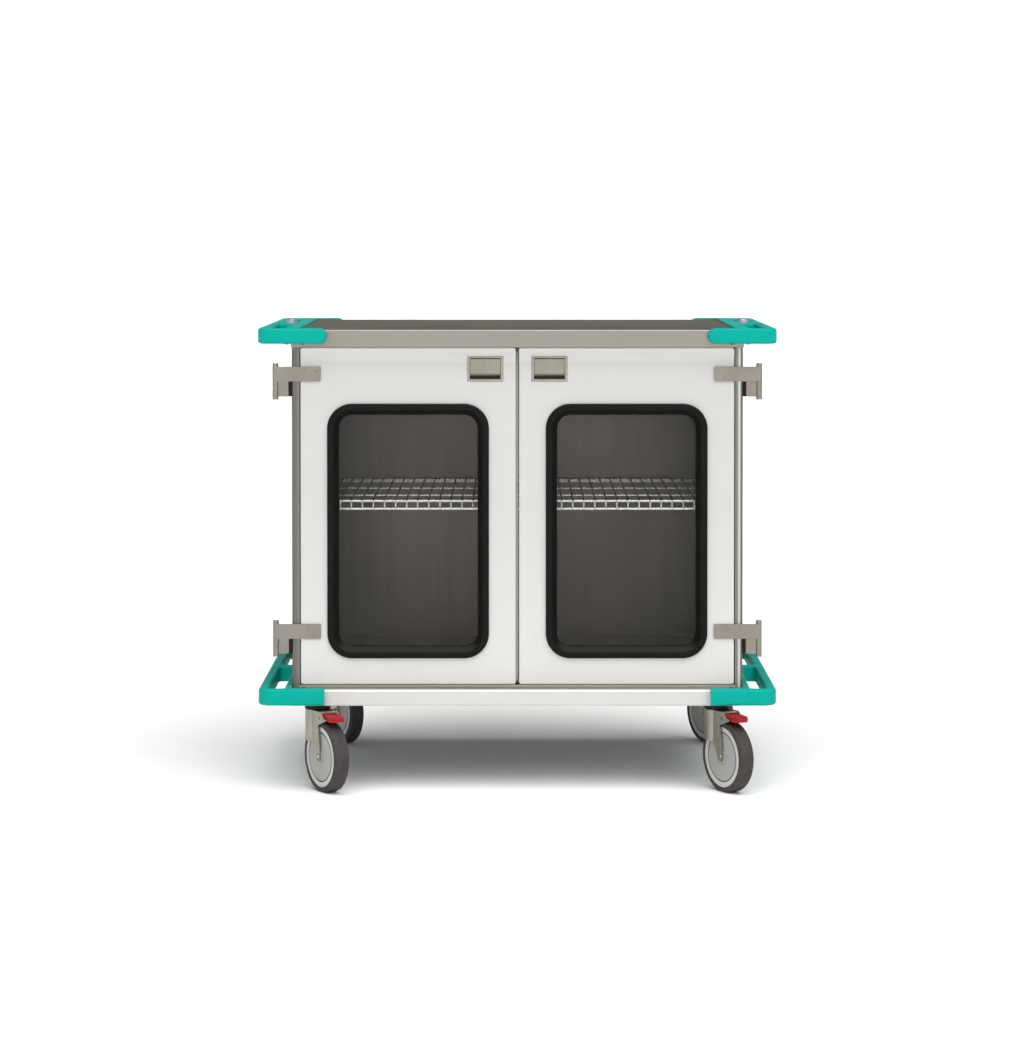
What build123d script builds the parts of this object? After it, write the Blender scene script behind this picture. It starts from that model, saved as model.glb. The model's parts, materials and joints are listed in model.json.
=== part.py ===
from build123d import *
import os
from math import cos, hypot, radians, sin, sqrt

# A closed case cart: a steel cabinet with two glazed doors on a wheeled deck.
# Origin: on the floor, under the middle of the cart's bounding box. +X runs along the front to the
# right, +Y from the front to the back, +Z up. All sizes in millimetres.

os.makedirs("parts", exist_ok=True)

# Main sizes
overall_length = 1100.0
overall_depth = 750.0
bumper_reach = 70.0
skirt_set_back = 20.0
door_set_back = 45.0
sheet = 2.0
panel_sheet = 1.5

# Heights, from the floor up
caster_height = 182.0
deck_height = 34.0
door_foot_gap = 6.0
door_height = 718.0
door_head_gap = 1.5
worktop_height = 37.5

# Bumper mouldings round the deck and the worktop
bumper_corner = 30.0
bumper_edge = 6.0
rail_width = 21.0
slot_width = 33.0
slot_corner = 9.0
slot_edge = 6.0
rib_width = 30.0
handle_height = 33.0
handle_lip = 3.5
handle_lip_reach = 16.0
handle_arm_reach = 77.0
handle_arm_flat = 0.4
base_bumper_height = 35.0
base_bumper_rise = 1.5
base_arm_reach = 70.0
socket_radius = 12.0
socket_bore_radius = 8.0
socket_rise = 9.0
socket_round = 1.5
lap_drop = 0.6
lap_gap = 0.5

# Bumper screws
screw_shank_radius = 2.5
screw_head_radius = 4.5
screw_head_height = 1.5
screw_grip = 12.0
bumper_screw_inset = 26.0
ledge_screw_depth = 11.0
handle_screw_pitch = 34.0
head_taper = 15.0

# Doors
door_thickness = 28.0
door_gap = 7.0
door_side_gap = 2.0
post_width = 16.5
door_corner = 5.0
door_edge = 2.5
seal_gap = 4.0
centre_seal_clearance = 1.2
centre_seal_end = 8.0
centre_seal_inset = 4.0
seal_round = 1.9

# Door windows
window_side = 57.0
window_height = 543.0
window_corner = 53.0
window_sill_share = 0.32
gasket_width = 24.0
gasket_cover = 10.0
gasket_proud = 8.0
gasket_round = 5.0
gasket_bevel = 10.4
gasket_bevel_depth = 13.0
gasket_back = 2.5
pane_thickness = 5.0
pane_grip = 6.0

# Door hinges
hinge_offset = 34.5
knuckle_radius = 6.25
knuckle_height = 37.0
knuckle_gap = 0.3
hinge_pin_radius = 3.5
hinge_cap_height = 1.7
running_clearance = 0.05
strap_thickness = 3.0
strap_reach = 96.5
strap_height = 32.0
strap_corner = 3.0
low_hinge_rise = 97.5
high_hinge_drop = 72.0
leaf_length = 62.0
leaf_screw_pitch = 31.0
spacer_width = 7.0
strap_screw_radius = 3.2
strap_screw_head = 1.0
strap_screw_round = 0.5
leaf_screw_radius = 5.0
leaf_screw_head = 2.0
strap_screw_pitch = 12.0
strap_screw_spread = 7.0
strap_screw_grip = 4.0
strap_screw_inset = 10.0

# Latches
latch_width = 77.0
latch_height = 54.0
latch_margin = 26.3
latch_drop_share = 0.277
bezel_side = 5.5
bezel_top = 4.0
bezel_foot = 5.0
bezel_proud = 1.5
bezel_round = 0.7
cup_depth = 15.0
cup_wall = 1.5
paddle_head_gap = 2.3
paddle_side_gap = 1.0
paddle_height = 35.0
paddle_thickness = 2.5
paddle_inset = 0.5
paddle_lip_round = 0.8
pivot_drop = 2.5
pivot_depth = 4.0
pivot_hub_radius = 3.0
trunnion_radius = 1.8
arm_thickness = 3.0
arm_width = 6.0
bolt_depth = 21.0
bolt_radius = 4.0
bolt_notch = 7.0
bolt_nose = 1.0
bolt_tip_gap = 0.5
guide_width = 14.0
guide_height = 9.0

# Front frame, cabinet and shelf
frame_depth = 30.0
frame_face = 40.0
sill_height = 25.0
inner_floor_gap = 0.5
head_height = 36.0
flange_width = 40.0
worktop_edge = 3.0
post_round = 5.0
post_set_back = 2.0
threshold_gap = 1.0
shelf_top = 615.5
shelf_front_gap = 10.0
shelf_back_gap = 4.0
shelf_side_gap = 2.0
rod_radius = 2.0
rail_radius = 3.0
weld_sink = 0.4
truss_drop = 17.0
rod_pitch = 23.8
cross_rod_lead = 136.0
cross_rod_pitch = 187.0
bracket_length = 540.0
bracket_ledge = 24.0
bracket_flange = 30.0

# Casters
wheel_diameter = 150.0
tyre_width = 33.0
tyre_round = 5.0
rim_radius = 64.0
rim_width = 31.0
rim_groove_radius = 52.0
rim_groove_width = 2.6
rim_groove_depth = 2.5
hub_radius = 15.0
hub_end_gap = 0.3
caster_trail = 42.0
caster_yaw = 30.5
kingpin_side_inset = 54.0
kingpin_end_inset = 52.0
head_radius = 27.5
head_thickness = 10.0
head_round = 2.5
swivel_gap = 0.3
crown_thickness = 4.0
crown_radius = 26.5
stem_radius = 6.0
stem_nut_radius = 10.0
stem_nut_height = 8.0
leg_gap = 1.5
leg_thickness = 3.0
leg_front = 50.0
leg_waist = 42.0
leg_waist_height = 143.0
leg_eye_radius = 9.5
collar_drop = 66.0
brow_start = 64.0
brow_front = 76.0
brow_height = 159.0
brow_tip = 4.0
axle_radius = 5.0
axle_head_radius = 6.5
axle_head_height = 3.0
beam_width = 56.0
beam_wall = 3.0

# Brake pedals
pedal_pivot_reach = 49.0
pedal_pivot_height = 158.5
pedal_hub_gap = 0.4
pedal_pin_radius = 3.0
pedal_reach = 48.0
pedal_width = 32.0
pedal_thickness = 13.0
pedal_tip = 5.0
pedal_corner = 7.0
pedal_hub_side_gap = 0.8

# How near an edge must lie to a place to be picked there
near = 0.4

# Places worked out from the sizes above
SIDES = ((-1, "left"), (1, "right"))
half_length = overall_length / 2
half_depth = overall_depth / 2
cabinet_width = overall_length - 2 * bumper_reach
half_cabinet = cabinet_width / 2
wheel_radius = wheel_diameter / 2

# The casters all trail to the front right, so the front wheels reach out past the bumpers.
trail_x = sin(radians(caster_yaw))
trail_y = -cos(radians(caster_yaw))
wheel_reach = half_depth - kingpin_end_inset + tyre_round
wheel_reach -= (caster_trail + wheel_radius - tyre_round) * trail_y
wheel_reach += (tyre_width / 2 - tyre_round) * trail_x
mid_y = (wheel_reach - half_depth) / 2
front_y = mid_y - half_depth
rear_y = mid_y + half_depth
skirt_front_y = front_y + skirt_set_back
skirt_rear_y = rear_y - skirt_set_back
skirt_depth = skirt_rear_y - skirt_front_y
door_front_y = front_y + door_set_back
door_back_y = door_front_y + door_thickness
frame_front_y = door_back_y + seal_gap
frame_back_y = frame_front_y + frame_depth
cabinet_back_y = rear_y - door_set_back

deck_top = caster_height + deck_height
floor_top = deck_top + sheet
door_foot = floor_top + door_foot_gap
door_head = door_foot + door_height
worktop_foot = door_head + door_head_gap
worktop_top = worktop_foot + worktop_height
cabinet_top = worktop_foot - sheet
handle_top = worktop_top + handle_lip
handle_foot = handle_top - handle_height
base_bumper_top = floor_top + base_bumper_rise
base_bumper_foot = base_bumper_top - base_bumper_height
handle_mid_z = handle_top - handle_height / 2
base_bumper_mid_z = base_bumper_top - base_bumper_height / 2

door_inner_x = door_gap / 2
door_outer_x = half_cabinet - post_width - door_side_gap
door_width = door_outer_x - door_inner_x
door_mid_x = (door_outer_x + door_inner_x) / 2
door_mid_z = (door_foot + door_head) / 2
window_width = door_width - 2 * window_side
window_sill = window_sill_share * (door_height - window_height)
window_mid_z = door_foot + window_sill + window_height / 2
window_head = door_height - window_height - window_sill
latch_drop = latch_drop_share * (window_head - latch_height)
hinge_x = half_cabinet + hinge_offset
hinge_y = door_front_y - strap_thickness + knuckle_radius
low_hinge_z = door_foot + low_hinge_rise
high_hinge_z = door_head - high_hinge_drop
hinge_levels = (low_hinge_z, high_hinge_z)
leaf_face_x = half_cabinet + spacer_width
leaf_outer_x = leaf_face_x + strap_thickness

door_inside_height = door_height - 2 * sheet
hole_width = window_width - 2 * gasket_cover
hole_height = window_height - 2 * gasket_cover
hole_corner = window_corner - gasket_cover
glass_width = window_width - 2 * gasket_width
glass_height = window_height - 2 * gasket_width
glass_corner = window_corner - gasket_width
pane_width = glass_width + 2 * pane_grip
pane_height = glass_height + 2 * pane_grip
pane_corner = glass_corner + pane_grip
pane_front_y = (door_front_y + door_back_y - pane_thickness) / 2
recess_head = door_head - latch_drop - bezel_top
recess_foot = door_head - latch_drop - latch_height + bezel_foot
recess_mid_z = (recess_head + recess_foot) / 2
recess_height = recess_head - recess_foot
recess_width = latch_width - 2 * bezel_side
latch_x = door_inner_x + latch_margin + latch_width / 2
pivot_z = recess_head - paddle_head_gap - pivot_drop
pivot_y = door_front_y + pivot_depth
bolt_y = door_front_y + bolt_depth
arm_reach = bolt_depth - pivot_depth
cup_back_y = door_front_y + cup_depth
strap_end_x = hinge_x - strap_reach
strap_screw_x = strap_end_x + strap_screw_inset
strap_screw_places = (
    (strap_screw_x, strap_screw_spread),
    (strap_screw_x + strap_screw_pitch, -strap_screw_spread),
    (strap_screw_x + 2 * strap_screw_pitch, strap_screw_spread),
)

handle_arm_end = half_cabinet - handle_arm_reach
base_arm_end = half_cabinet - base_arm_reach
lip_inner_x = half_cabinet - handle_lip_reach
inner_screw_x = half_cabinet - bumper_screw_inset
outer_screw_x = inner_screw_x + handle_screw_pitch
slot_inner_x = half_length - rail_width - slot_width
slot_mid_x = half_length - rail_width - slot_width / 2
slot_length = (overall_depth - rib_width) / 2 - skirt_set_back
slot_mid_offset = (rib_width + slot_length) / 2
socket_x = slot_inner_x + socket_radius / 2

kingpin_x = half_cabinet - kingpin_side_inset
kingpin_front_y = front_y + kingpin_end_inset
kingpin_rear_y = rear_y - kingpin_end_inset
head_foot = caster_height - head_thickness
crown_top = head_foot - swivel_gap
crown_foot = crown_top - crown_thickness
leg_inner = tyre_width / 2 + leg_gap
leg_outer = leg_inner + leg_thickness
CASTERS = (
    ("front_left", -kingpin_x, kingpin_front_y, True),
    ("front_right", kingpin_x, kingpin_front_y, True),
    ("rear_left", -kingpin_x, kingpin_rear_y, False),
    ("rear_right", kingpin_x, kingpin_rear_y, False),
)

# Deck: a white folded tray, open below
with BuildPart() as base_deck:
    with BuildSketch(Plane.XY.offset(caster_height)):
        with Locations((0, mid_y)):
            Rectangle(cabinet_width, skirt_depth)
    extrude(amount=deck_height)
    with BuildSketch(Plane.XY.offset(caster_height)):
        with Locations((0, mid_y)):
            Rectangle(cabinet_width - 2 * sheet, skirt_depth - 2 * sheet)
    extrude(amount=deck_height - sheet, mode=Mode.SUBTRACT)
    deck_rim = base_deck.faces().sort_by(Axis.Z)[-1].edges()
    fillet(deck_rim, radius=sheet / 2)
    # Holes for the base bumper's screws
    with BuildSketch(Plane.XY.offset(deck_top)):
        for screw_y in (skirt_front_y + ledge_screw_depth, skirt_rear_y - ledge_screw_depth):
            with Locations((-inner_screw_x, screw_y), (inner_screw_x, screw_y)):
                Circle(screw_shank_radius)
    extrude(amount=-sheet, mode=Mode.SUBTRACT)
base_deck.part.label = "base_deck"
export_step(base_deck.part, "parts/base_deck.step")

# Two channels under the deck carry the casters
with BuildPart() as caster_beams:
    for beam_y in (kingpin_front_y, kingpin_rear_y):
        with BuildSketch(Plane.XY.offset(caster_height)):
            with Locations((0, beam_y)):
                Rectangle(cabinet_width - 2 * sheet, beam_width)
        extrude(amount=deck_height - sheet)
        with BuildSketch(Plane.XY.offset(caster_height + beam_wall)):
            with Locations((0, beam_y)):
                Rectangle(cabinet_width - 2 * sheet, beam_width - 2 * beam_wall)
        extrude(amount=deck_height - sheet - beam_wall, mode=Mode.SUBTRACT)
        with BuildSketch(Plane.XY.offset(caster_height)):
            with Locations((-kingpin_x, beam_y), (kingpin_x, beam_y)):
                Circle(stem_radius)
        extrude(amount=beam_wall, mode=Mode.SUBTRACT)
caster_beams.part.label = "caster_beams"
export_step(caster_beams.part, "parts/caster_beams.step")

# Floor sheet: its bare edge shows as a ledge in front of the doors
with BuildPart() as cabinet_floor:
    with BuildSketch(Plane.XY.offset(deck_top)):
        with Locations((0, mid_y)):
            Rectangle(cabinet_width, skirt_depth)
        for screw_y in (skirt_front_y + ledge_screw_depth, skirt_rear_y - ledge_screw_depth):
            with Locations((-inner_screw_x, screw_y), (inner_screw_x, screw_y)):
                Circle(screw_shank_radius, mode=Mode.SUBTRACT)
    extrude(amount=sheet)
cabinet_floor.part.label = "cabinet_floor"
export_step(cabinet_floor.part, "parts/cabinet_floor.step")

# Sides and back in one folded sheet
wrap_depth = cabinet_back_y - frame_back_y
with BuildPart() as cabinet_wrap:
    with BuildSketch(Plane.XY.offset(floor_top)):
        with Locations((0, (frame_back_y + cabinet_back_y) / 2)):
            Rectangle(cabinet_width, wrap_depth)
        with Locations((0, (frame_back_y + cabinet_back_y - panel_sheet) / 2)):
            Rectangle(cabinet_width - 2 * panel_sheet, wrap_depth - panel_sheet, mode=Mode.SUBTRACT)
    extrude(amount=cabinet_top - floor_top)
cabinet_wrap.part.label = "cabinet_wrap"
export_step(cabinet_wrap.part, "parts/cabinet_wrap.step")

# Inner floor: a pan turned over, so that goods stand level with the frame's sill
inner_floor_width = cabinet_width - 2 * panel_sheet - 2 * inner_floor_gap
inner_floor_depth = wrap_depth - panel_sheet - 2 * inner_floor_gap
inner_floor_y = (frame_back_y + cabinet_back_y - panel_sheet) / 2
with BuildPart() as inner_floor:
    with BuildSketch(Plane.XY.offset(floor_top)):
        with Locations((0, inner_floor_y)):
            Rectangle(inner_floor_width, inner_floor_depth)
    extrude(amount=sill_height)
    fillet(inner_floor.faces().sort_by(Axis.Z)[-1].edges(), radius=panel_sheet)
    with BuildSketch(Plane.XY.offset(floor_top)):
        with Locations((0, inner_floor_y)):
            Rectangle(inner_floor_width - 2 * panel_sheet, inner_floor_depth - 2 * panel_sheet)
    extrude(amount=sill_height - panel_sheet, mode=Mode.SUBTRACT)
inner_floor.part.label = "inner_floor"
export_step(inner_floor.part, "parts/inner_floor.step")

# Front frame: a hollow ring behind the doors with cheeks that close their outer edges
cheek_front_y = door_front_y + post_set_back
opening_width = cabinet_width - 2 * frame_face
opening_foot = floor_top + sill_height
opening_head = cabinet_top - head_height
opening_height = opening_head - opening_foot
with BuildPart() as front_frame:
    with BuildSketch(Plane.XZ.offset(-frame_front_y)):
        with Locations((0, (floor_top + cabinet_top) / 2)):
            Rectangle(cabinet_width, cabinet_top - floor_top)
    extrude(amount=-frame_depth)
    with BuildSketch(Plane.XZ.offset(-frame_front_y - sheet)):
        with Locations((0, (floor_top + cabinet_top) / 2)):
            Rectangle(cabinet_width - 2 * sheet, cabinet_top - floor_top - 2 * sheet)
        with Locations((0, (opening_foot + opening_head) / 2)):
            Rectangle(opening_width + 2 * sheet, opening_height + 2 * sheet, mode=Mode.SUBTRACT)
    extrude(amount=-(frame_depth - sheet), mode=Mode.SUBTRACT)
    with BuildSketch(Plane.XZ.offset(-frame_front_y)):
        with Locations((0, (opening_foot + opening_head) / 2)):
            Rectangle(opening_width, opening_height)
    extrude(amount=-frame_depth, mode=Mode.SUBTRACT)
    with BuildSketch(Plane.XY.offset(floor_top)):
        for side, _ in SIDES:
            cheek_mid_x = side * (half_cabinet - post_width / 2)
            with Locations((cheek_mid_x, (cheek_front_y + frame_front_y) / 2)):
                Rectangle(post_width, frame_front_y - cheek_front_y)
    extrude(amount=cabinet_top - floor_top)
    outer_posts = front_frame.edges().filter_by(Axis.Z).filter_by(
        lambda edge: abs(edge.center().Y - cheek_front_y) < near
        and abs(edge.center().X) > half_cabinet - sheet
    )
    fillet(outer_posts, radius=post_round)
    with BuildSketch(Plane.XY.offset(floor_top)):
        for side, _ in SIDES:
            cheek_mid_x = side * (half_cabinet - post_width / 2)
            with Locations((cheek_mid_x, (cheek_front_y + frame_front_y + sheet) / 2)):
                Rectangle(post_width - 2 * sheet, frame_front_y - cheek_front_y - sheet)
    extrude(amount=cabinet_top - floor_top, mode=Mode.SUBTRACT)
front_frame.part.label = "front_frame"
export_step(front_frame.part, "parts/front_frame.step")

# Threshold: a low folded strip between the cheeks, just under the doors
threshold_height = door_foot_gap - threshold_gap
threshold_length = cabinet_width - 2 * post_width
with BuildPart() as door_threshold:
    with BuildSketch(Plane.XY.offset(floor_top)):
        with Locations((0, (cheek_front_y + frame_front_y) / 2)):
            Rectangle(threshold_length, frame_front_y - cheek_front_y)
    extrude(amount=threshold_height)
    with BuildSketch(Plane.XY.offset(floor_top)):
        with Locations((0, (cheek_front_y + panel_sheet + frame_front_y) / 2)):
            Rectangle(threshold_length, frame_front_y - cheek_front_y - panel_sheet)
    extrude(amount=threshold_height - panel_sheet, mode=Mode.SUBTRACT)
door_threshold.part.label = "door_threshold"
export_step(door_threshold.part, "parts/door_threshold.step")

# Ceiling sheet on top of the frame and the wrap
with BuildPart() as ceiling_panel:
    with BuildSketch(Plane.XY.offset(cabinet_top)):
        with Locations((0, (frame_front_y + cabinet_back_y) / 2)):
            Rectangle(cabinet_width, cabinet_back_y - frame_front_y)
    extrude(amount=sheet)
ceiling_panel.part.label = "ceiling_panel"
export_step(ceiling_panel.part, "parts/ceiling_panel.step")

# Worktop: a pressed pan with a return flange round its foot
with BuildPart() as worktop:
    with BuildSketch(Plane.XY.offset(worktop_foot)):
        with Locations((0, mid_y)):
            Rectangle(cabinet_width, skirt_depth)
    extrude(amount=worktop_height)
    fillet(worktop.faces().sort_by(Axis.Z)[-1].edges(), radius=worktop_edge)
    with BuildSketch(Plane.XY.offset(worktop_foot + sheet)):
        with Locations((0, mid_y)):
            Rectangle(cabinet_width - 2 * sheet, skirt_depth - 2 * sheet)
    extrude(amount=worktop_height - 2 * sheet, mode=Mode.SUBTRACT)
    with BuildSketch(Plane.XY.offset(worktop_foot)):
        with Locations((0, mid_y)):
            Rectangle(cabinet_width - 2 * flange_width, skirt_depth - 2 * flange_width)
    extrude(amount=sheet, mode=Mode.SUBTRACT)
    # Both ends step down a little, so that the bumpers' lips lap over them and leave the top free
    with BuildSketch(Plane.XY.offset(worktop_top)):
        for side, _ in SIDES:
            with Locations((side * (half_cabinet + lip_inner_x - lap_gap) / 2, mid_y)):
                Rectangle(half_cabinet - lip_inner_x + lap_gap, skirt_depth)
    extrude(amount=-lap_drop, mode=Mode.SUBTRACT)
worktop.part.label = "worktop"
export_step(worktop.part, "parts/worktop.step")


def on_outer_line(edge):
    """True for an edge on the outer line of the mouldings, seen from above."""
    centre = edge.center()
    on_side = abs(abs(centre.X) - half_length) < near
    on_end = abs(abs(centre.Y - mid_y) - half_depth) < near
    corner_x = abs(centre.X) - (half_length - bumper_corner)
    corner_y = abs(centre.Y - mid_y) - (half_depth - bumper_corner)
    on_corner = corner_x > 0 and corner_y > 0 and edge.geom_type == GeomType.CIRCLE
    return on_side or on_end or on_corner


def in_slot(edge):
    """True for an edge of a finger slot, seen from above."""
    centre = edge.center()
    beside = abs(abs(centre.X) - slot_mid_x) < (slot_width + sheet) / 2
    along = abs(abs(centre.Y - mid_y) - slot_mid_offset) < (slot_length + sheet) / 2
    return beside and along


# Handle bumpers: teal mouldings that wrap the worktop's ends, with finger slots to push by
for side, side_name in SIDES:
    with BuildPart() as handle_bumper:
        with BuildSketch(Plane.XY.offset(handle_foot)):
            with Locations((0, mid_y)):
                RectangleRounded(overall_length, overall_depth, bumper_corner)
            with Locations((side * (handle_arm_end - half_length) / 2, mid_y)):
                Rectangle(half_length + handle_arm_end, overall_depth, mode=Mode.SUBTRACT)
            with Locations((side * (lip_inner_x - half_length) / 2, mid_y)):
                Rectangle(half_length + lip_inner_x, skirt_depth, mode=Mode.SUBTRACT)
            for slot_y in (mid_y - slot_mid_offset, mid_y + slot_mid_offset):
                with Locations((side * slot_mid_x, slot_y)):
                    RectangleRounded(slot_width, slot_length, slot_corner, mode=Mode.SUBTRACT)
        extrude(amount=handle_height)
        with BuildSketch(Plane.XY.offset(handle_foot)):
            with Locations((0, mid_y)):
                Rectangle(cabinet_width, skirt_depth)
        extrude(amount=worktop_top - lap_drop - handle_foot, mode=Mode.SUBTRACT)
        arm_ends = handle_bumper.edges().filter_by(Axis.Y).filter_by(
            lambda edge: abs(abs(edge.center().X) - handle_arm_end) < near
        )
        fillet(arm_ends, radius=(handle_height - handle_arm_flat) / 2)
        level_edges = handle_bumper.edges().filter_by(
            lambda edge: abs(abs(edge.center().Z - handle_mid_z) - handle_height / 2) < near
        )
        fillet(level_edges.filter_by(in_slot), radius=slot_edge)
        fillet(level_edges.filter_by(on_outer_line), radius=bumper_edge)
        with BuildSketch(Plane.XY.offset(handle_foot)):
            with Locations((side * socket_x, mid_y)):
                Circle(socket_radius)
        extrude(amount=handle_height, mode=Mode.SUBTRACT)
        with BuildSketch(Plane.XY.offset(handle_foot)):
            for end in (-1, 1):
                screw_y = mid_y + end * (half_depth - skirt_set_back / 2)
                with Locations((side * inner_screw_x, screw_y), (side * outer_screw_x, screw_y)):
                    Circle(screw_shank_radius)
        extrude(amount=screw_grip, mode=Mode.SUBTRACT)
    handle_bumper.part.label = f"handle_bumper_{side_name}"
    export_step(handle_bumper.part, f"parts/handle_bumper_{side_name}.step")

# Base bumpers: the same moulding round the deck's ends, with square arm ends
for side, side_name in SIDES:
    with BuildPart() as base_bumper:
        with BuildSketch(Plane.XY.offset(base_bumper_foot)):
            with Locations((0, mid_y)):
                RectangleRounded(overall_length, overall_depth, bumper_corner)
            with Locations((side * (base_arm_end - half_length) / 2, mid_y)):
                Rectangle(half_length + base_arm_end, overall_depth, mode=Mode.SUBTRACT)
            with Locations((side * (half_cabinet - half_length) / 2, mid_y)):
                Rectangle(half_length + half_cabinet, skirt_depth, mode=Mode.SUBTRACT)
            for slot_y in (mid_y - slot_mid_offset, mid_y + slot_mid_offset):
                with Locations((side * slot_mid_x, slot_y)):
                    RectangleRounded(slot_width, slot_length, slot_corner, mode=Mode.SUBTRACT)
        extrude(amount=base_bumper_height)
        level_edges = base_bumper.edges().filter_by(
            lambda edge: abs(abs(edge.center().Z - base_bumper_mid_z) - base_bumper_height / 2) < near
        )
        fillet(level_edges.filter_by(in_slot), radius=slot_edge)
        fillet(level_edges.filter_by(on_outer_line), radius=bumper_edge)
    base_bumper.part.label = f"base_bumper_{side_name}"
    export_step(base_bumper.part, f"parts/base_bumper_{side_name}.step")

# Metal bushes in the handle bumpers take an accessory pole
with BuildPart() as handle_sockets:
    with BuildSketch(Plane.XY.offset(handle_foot)):
        for side, _ in SIDES:
            with Locations((side * socket_x, mid_y)):
                Circle(socket_radius)
                Circle(socket_bore_radius, mode=Mode.SUBTRACT)
    extrude(amount=handle_height + socket_rise)
    socket_rims = handle_sockets.edges().filter_by(GeomType.CIRCLE).filter_by(
        lambda edge: abs(edge.center().Z - handle_top - socket_rise) < near
    )
    fillet(socket_rims, radius=socket_round)
handle_sockets.part.label = "handle_sockets"
export_step(handle_sockets.part, "parts/handle_sockets.step")

# Black screws: one in each base arm's ledge, two up into each handle arm
with BuildPart() as bumper_screws:
    for end in (-1, 1):
        ledge_y = mid_y + end * (skirt_depth / 2 - ledge_screw_depth)
        arm_y = mid_y + end * (half_depth - skirt_set_back / 2)
        for side, _ in SIDES:
            inner_x = side * inner_screw_x
            outer_x = side * outer_screw_x
            with BuildSketch(Plane.XY.offset(floor_top)):
                with Locations((inner_x, ledge_y)):
                    Circle(screw_head_radius)
            extrude(amount=screw_head_height, taper=head_taper)
            with BuildSketch(Plane.XY.offset(floor_top)):
                with Locations((inner_x, ledge_y)):
                    Circle(screw_shank_radius)
            extrude(amount=-screw_grip)
            with BuildSketch(Plane.XY.offset(handle_foot)):
                with Locations((inner_x, arm_y), (outer_x, arm_y)):
                    Circle(screw_shank_radius)
            extrude(amount=screw_grip)
            with BuildSketch(Plane.XY.offset(handle_foot)):
                with Locations((inner_x, arm_y), (outer_x, arm_y)):
                    Circle(screw_head_radius)
            extrude(amount=-2 * screw_head_height, taper=head_taper)
bumper_screws.part.label = "bumper_screws"
export_step(bumper_screws.part, "parts/bumper_screws.step")

# Ledges for the shelf on the cabinet's sides
ledge_top = shelf_top - 4 * rod_radius + weld_sink
bracket_y = (frame_back_y + cabinet_back_y) / 2
with BuildPart() as shelf_brackets:
    with BuildSketch(Plane.XZ.offset(-(bracket_y - bracket_length / 2))):
        for side, _ in SIDES:
            wall_x = half_cabinet - panel_sheet
            with Locations((side * (wall_x - bracket_ledge / 2), ledge_top - sheet / 2)):
                Rectangle(bracket_ledge, sheet)
            with Locations((side * (wall_x - sheet / 2), ledge_top - bracket_flange / 2)):
                Rectangle(sheet, bracket_flange)
    extrude(amount=-bracket_length)
shelf_brackets.part.label = "shelf_brackets"
export_step(shelf_brackets.part, "parts/shelf_brackets.step")

# Wire shelf: long rods that bend down over a front truss and end on a back rail, with cross rods below
shelf_half_width = half_cabinet - panel_sheet - shelf_side_gap
shelf_back_y = cabinet_back_y - shelf_back_gap
rod_z = shelf_top - rod_radius
rail_z = rod_z - rod_radius - rail_radius + weld_sink
low_rail_z = rail_z - truss_drop
cross_z = rod_z - 2 * rod_radius + weld_sink
shelf_front_y = frame_back_y + shelf_front_gap
rod_front_y = shelf_front_y + rod_radius
rail_front_y = rod_front_y + rod_radius + rail_radius - weld_sink
rail_back_y = shelf_back_y - rail_radius
rods_beside = int((shelf_half_width - rod_radius) / rod_pitch)
rod_steps = range(-rods_beside, rods_beside + 1)
cross_first_y = rail_front_y + cross_rod_lead
cross_count = int((rail_back_y - cross_first_y) / cross_rod_pitch) + 1
with BuildPart() as shelf_rod:
    with BuildLine(Plane.YZ) as rod_line:
        FilletPolyline(
            (rod_front_y, low_rail_z),
            (rod_front_y, rod_z),
            (shelf_back_y, rod_z),
            radius=rail_radius,
        )
    with BuildSketch(Plane.XY.offset(low_rail_z)):
        with Locations((0, rod_front_y)):
            Circle(rod_radius)
    sweep(path=rod_line.wires()[0])
with BuildPart() as wire_shelf:
    with Locations(*[(rod_pitch * step, 0, 0) for step in rod_steps]):
        add(shelf_rod.part)
    rail_places = [(rail_front_y, rail_z), (rail_front_y, low_rail_z), (rail_back_y, rail_z)]
    with BuildSketch(Plane.YZ.offset(-shelf_half_width)):
        with Locations(*rail_places):
            Circle(rail_radius)
    extrude(amount=2 * shelf_half_width)
    cross_places = [(cross_first_y + cross_rod_pitch * step, cross_z) for step in range(cross_count)]
    with BuildSketch(Plane.YZ.offset(-shelf_half_width)):
        with Locations(*cross_places):
            Circle(rod_radius)
    extrude(amount=2 * shelf_half_width)
wire_shelf.part.label = "wire_shelf"
export_step(wire_shelf.part, "parts/wire_shelf.step")

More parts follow.
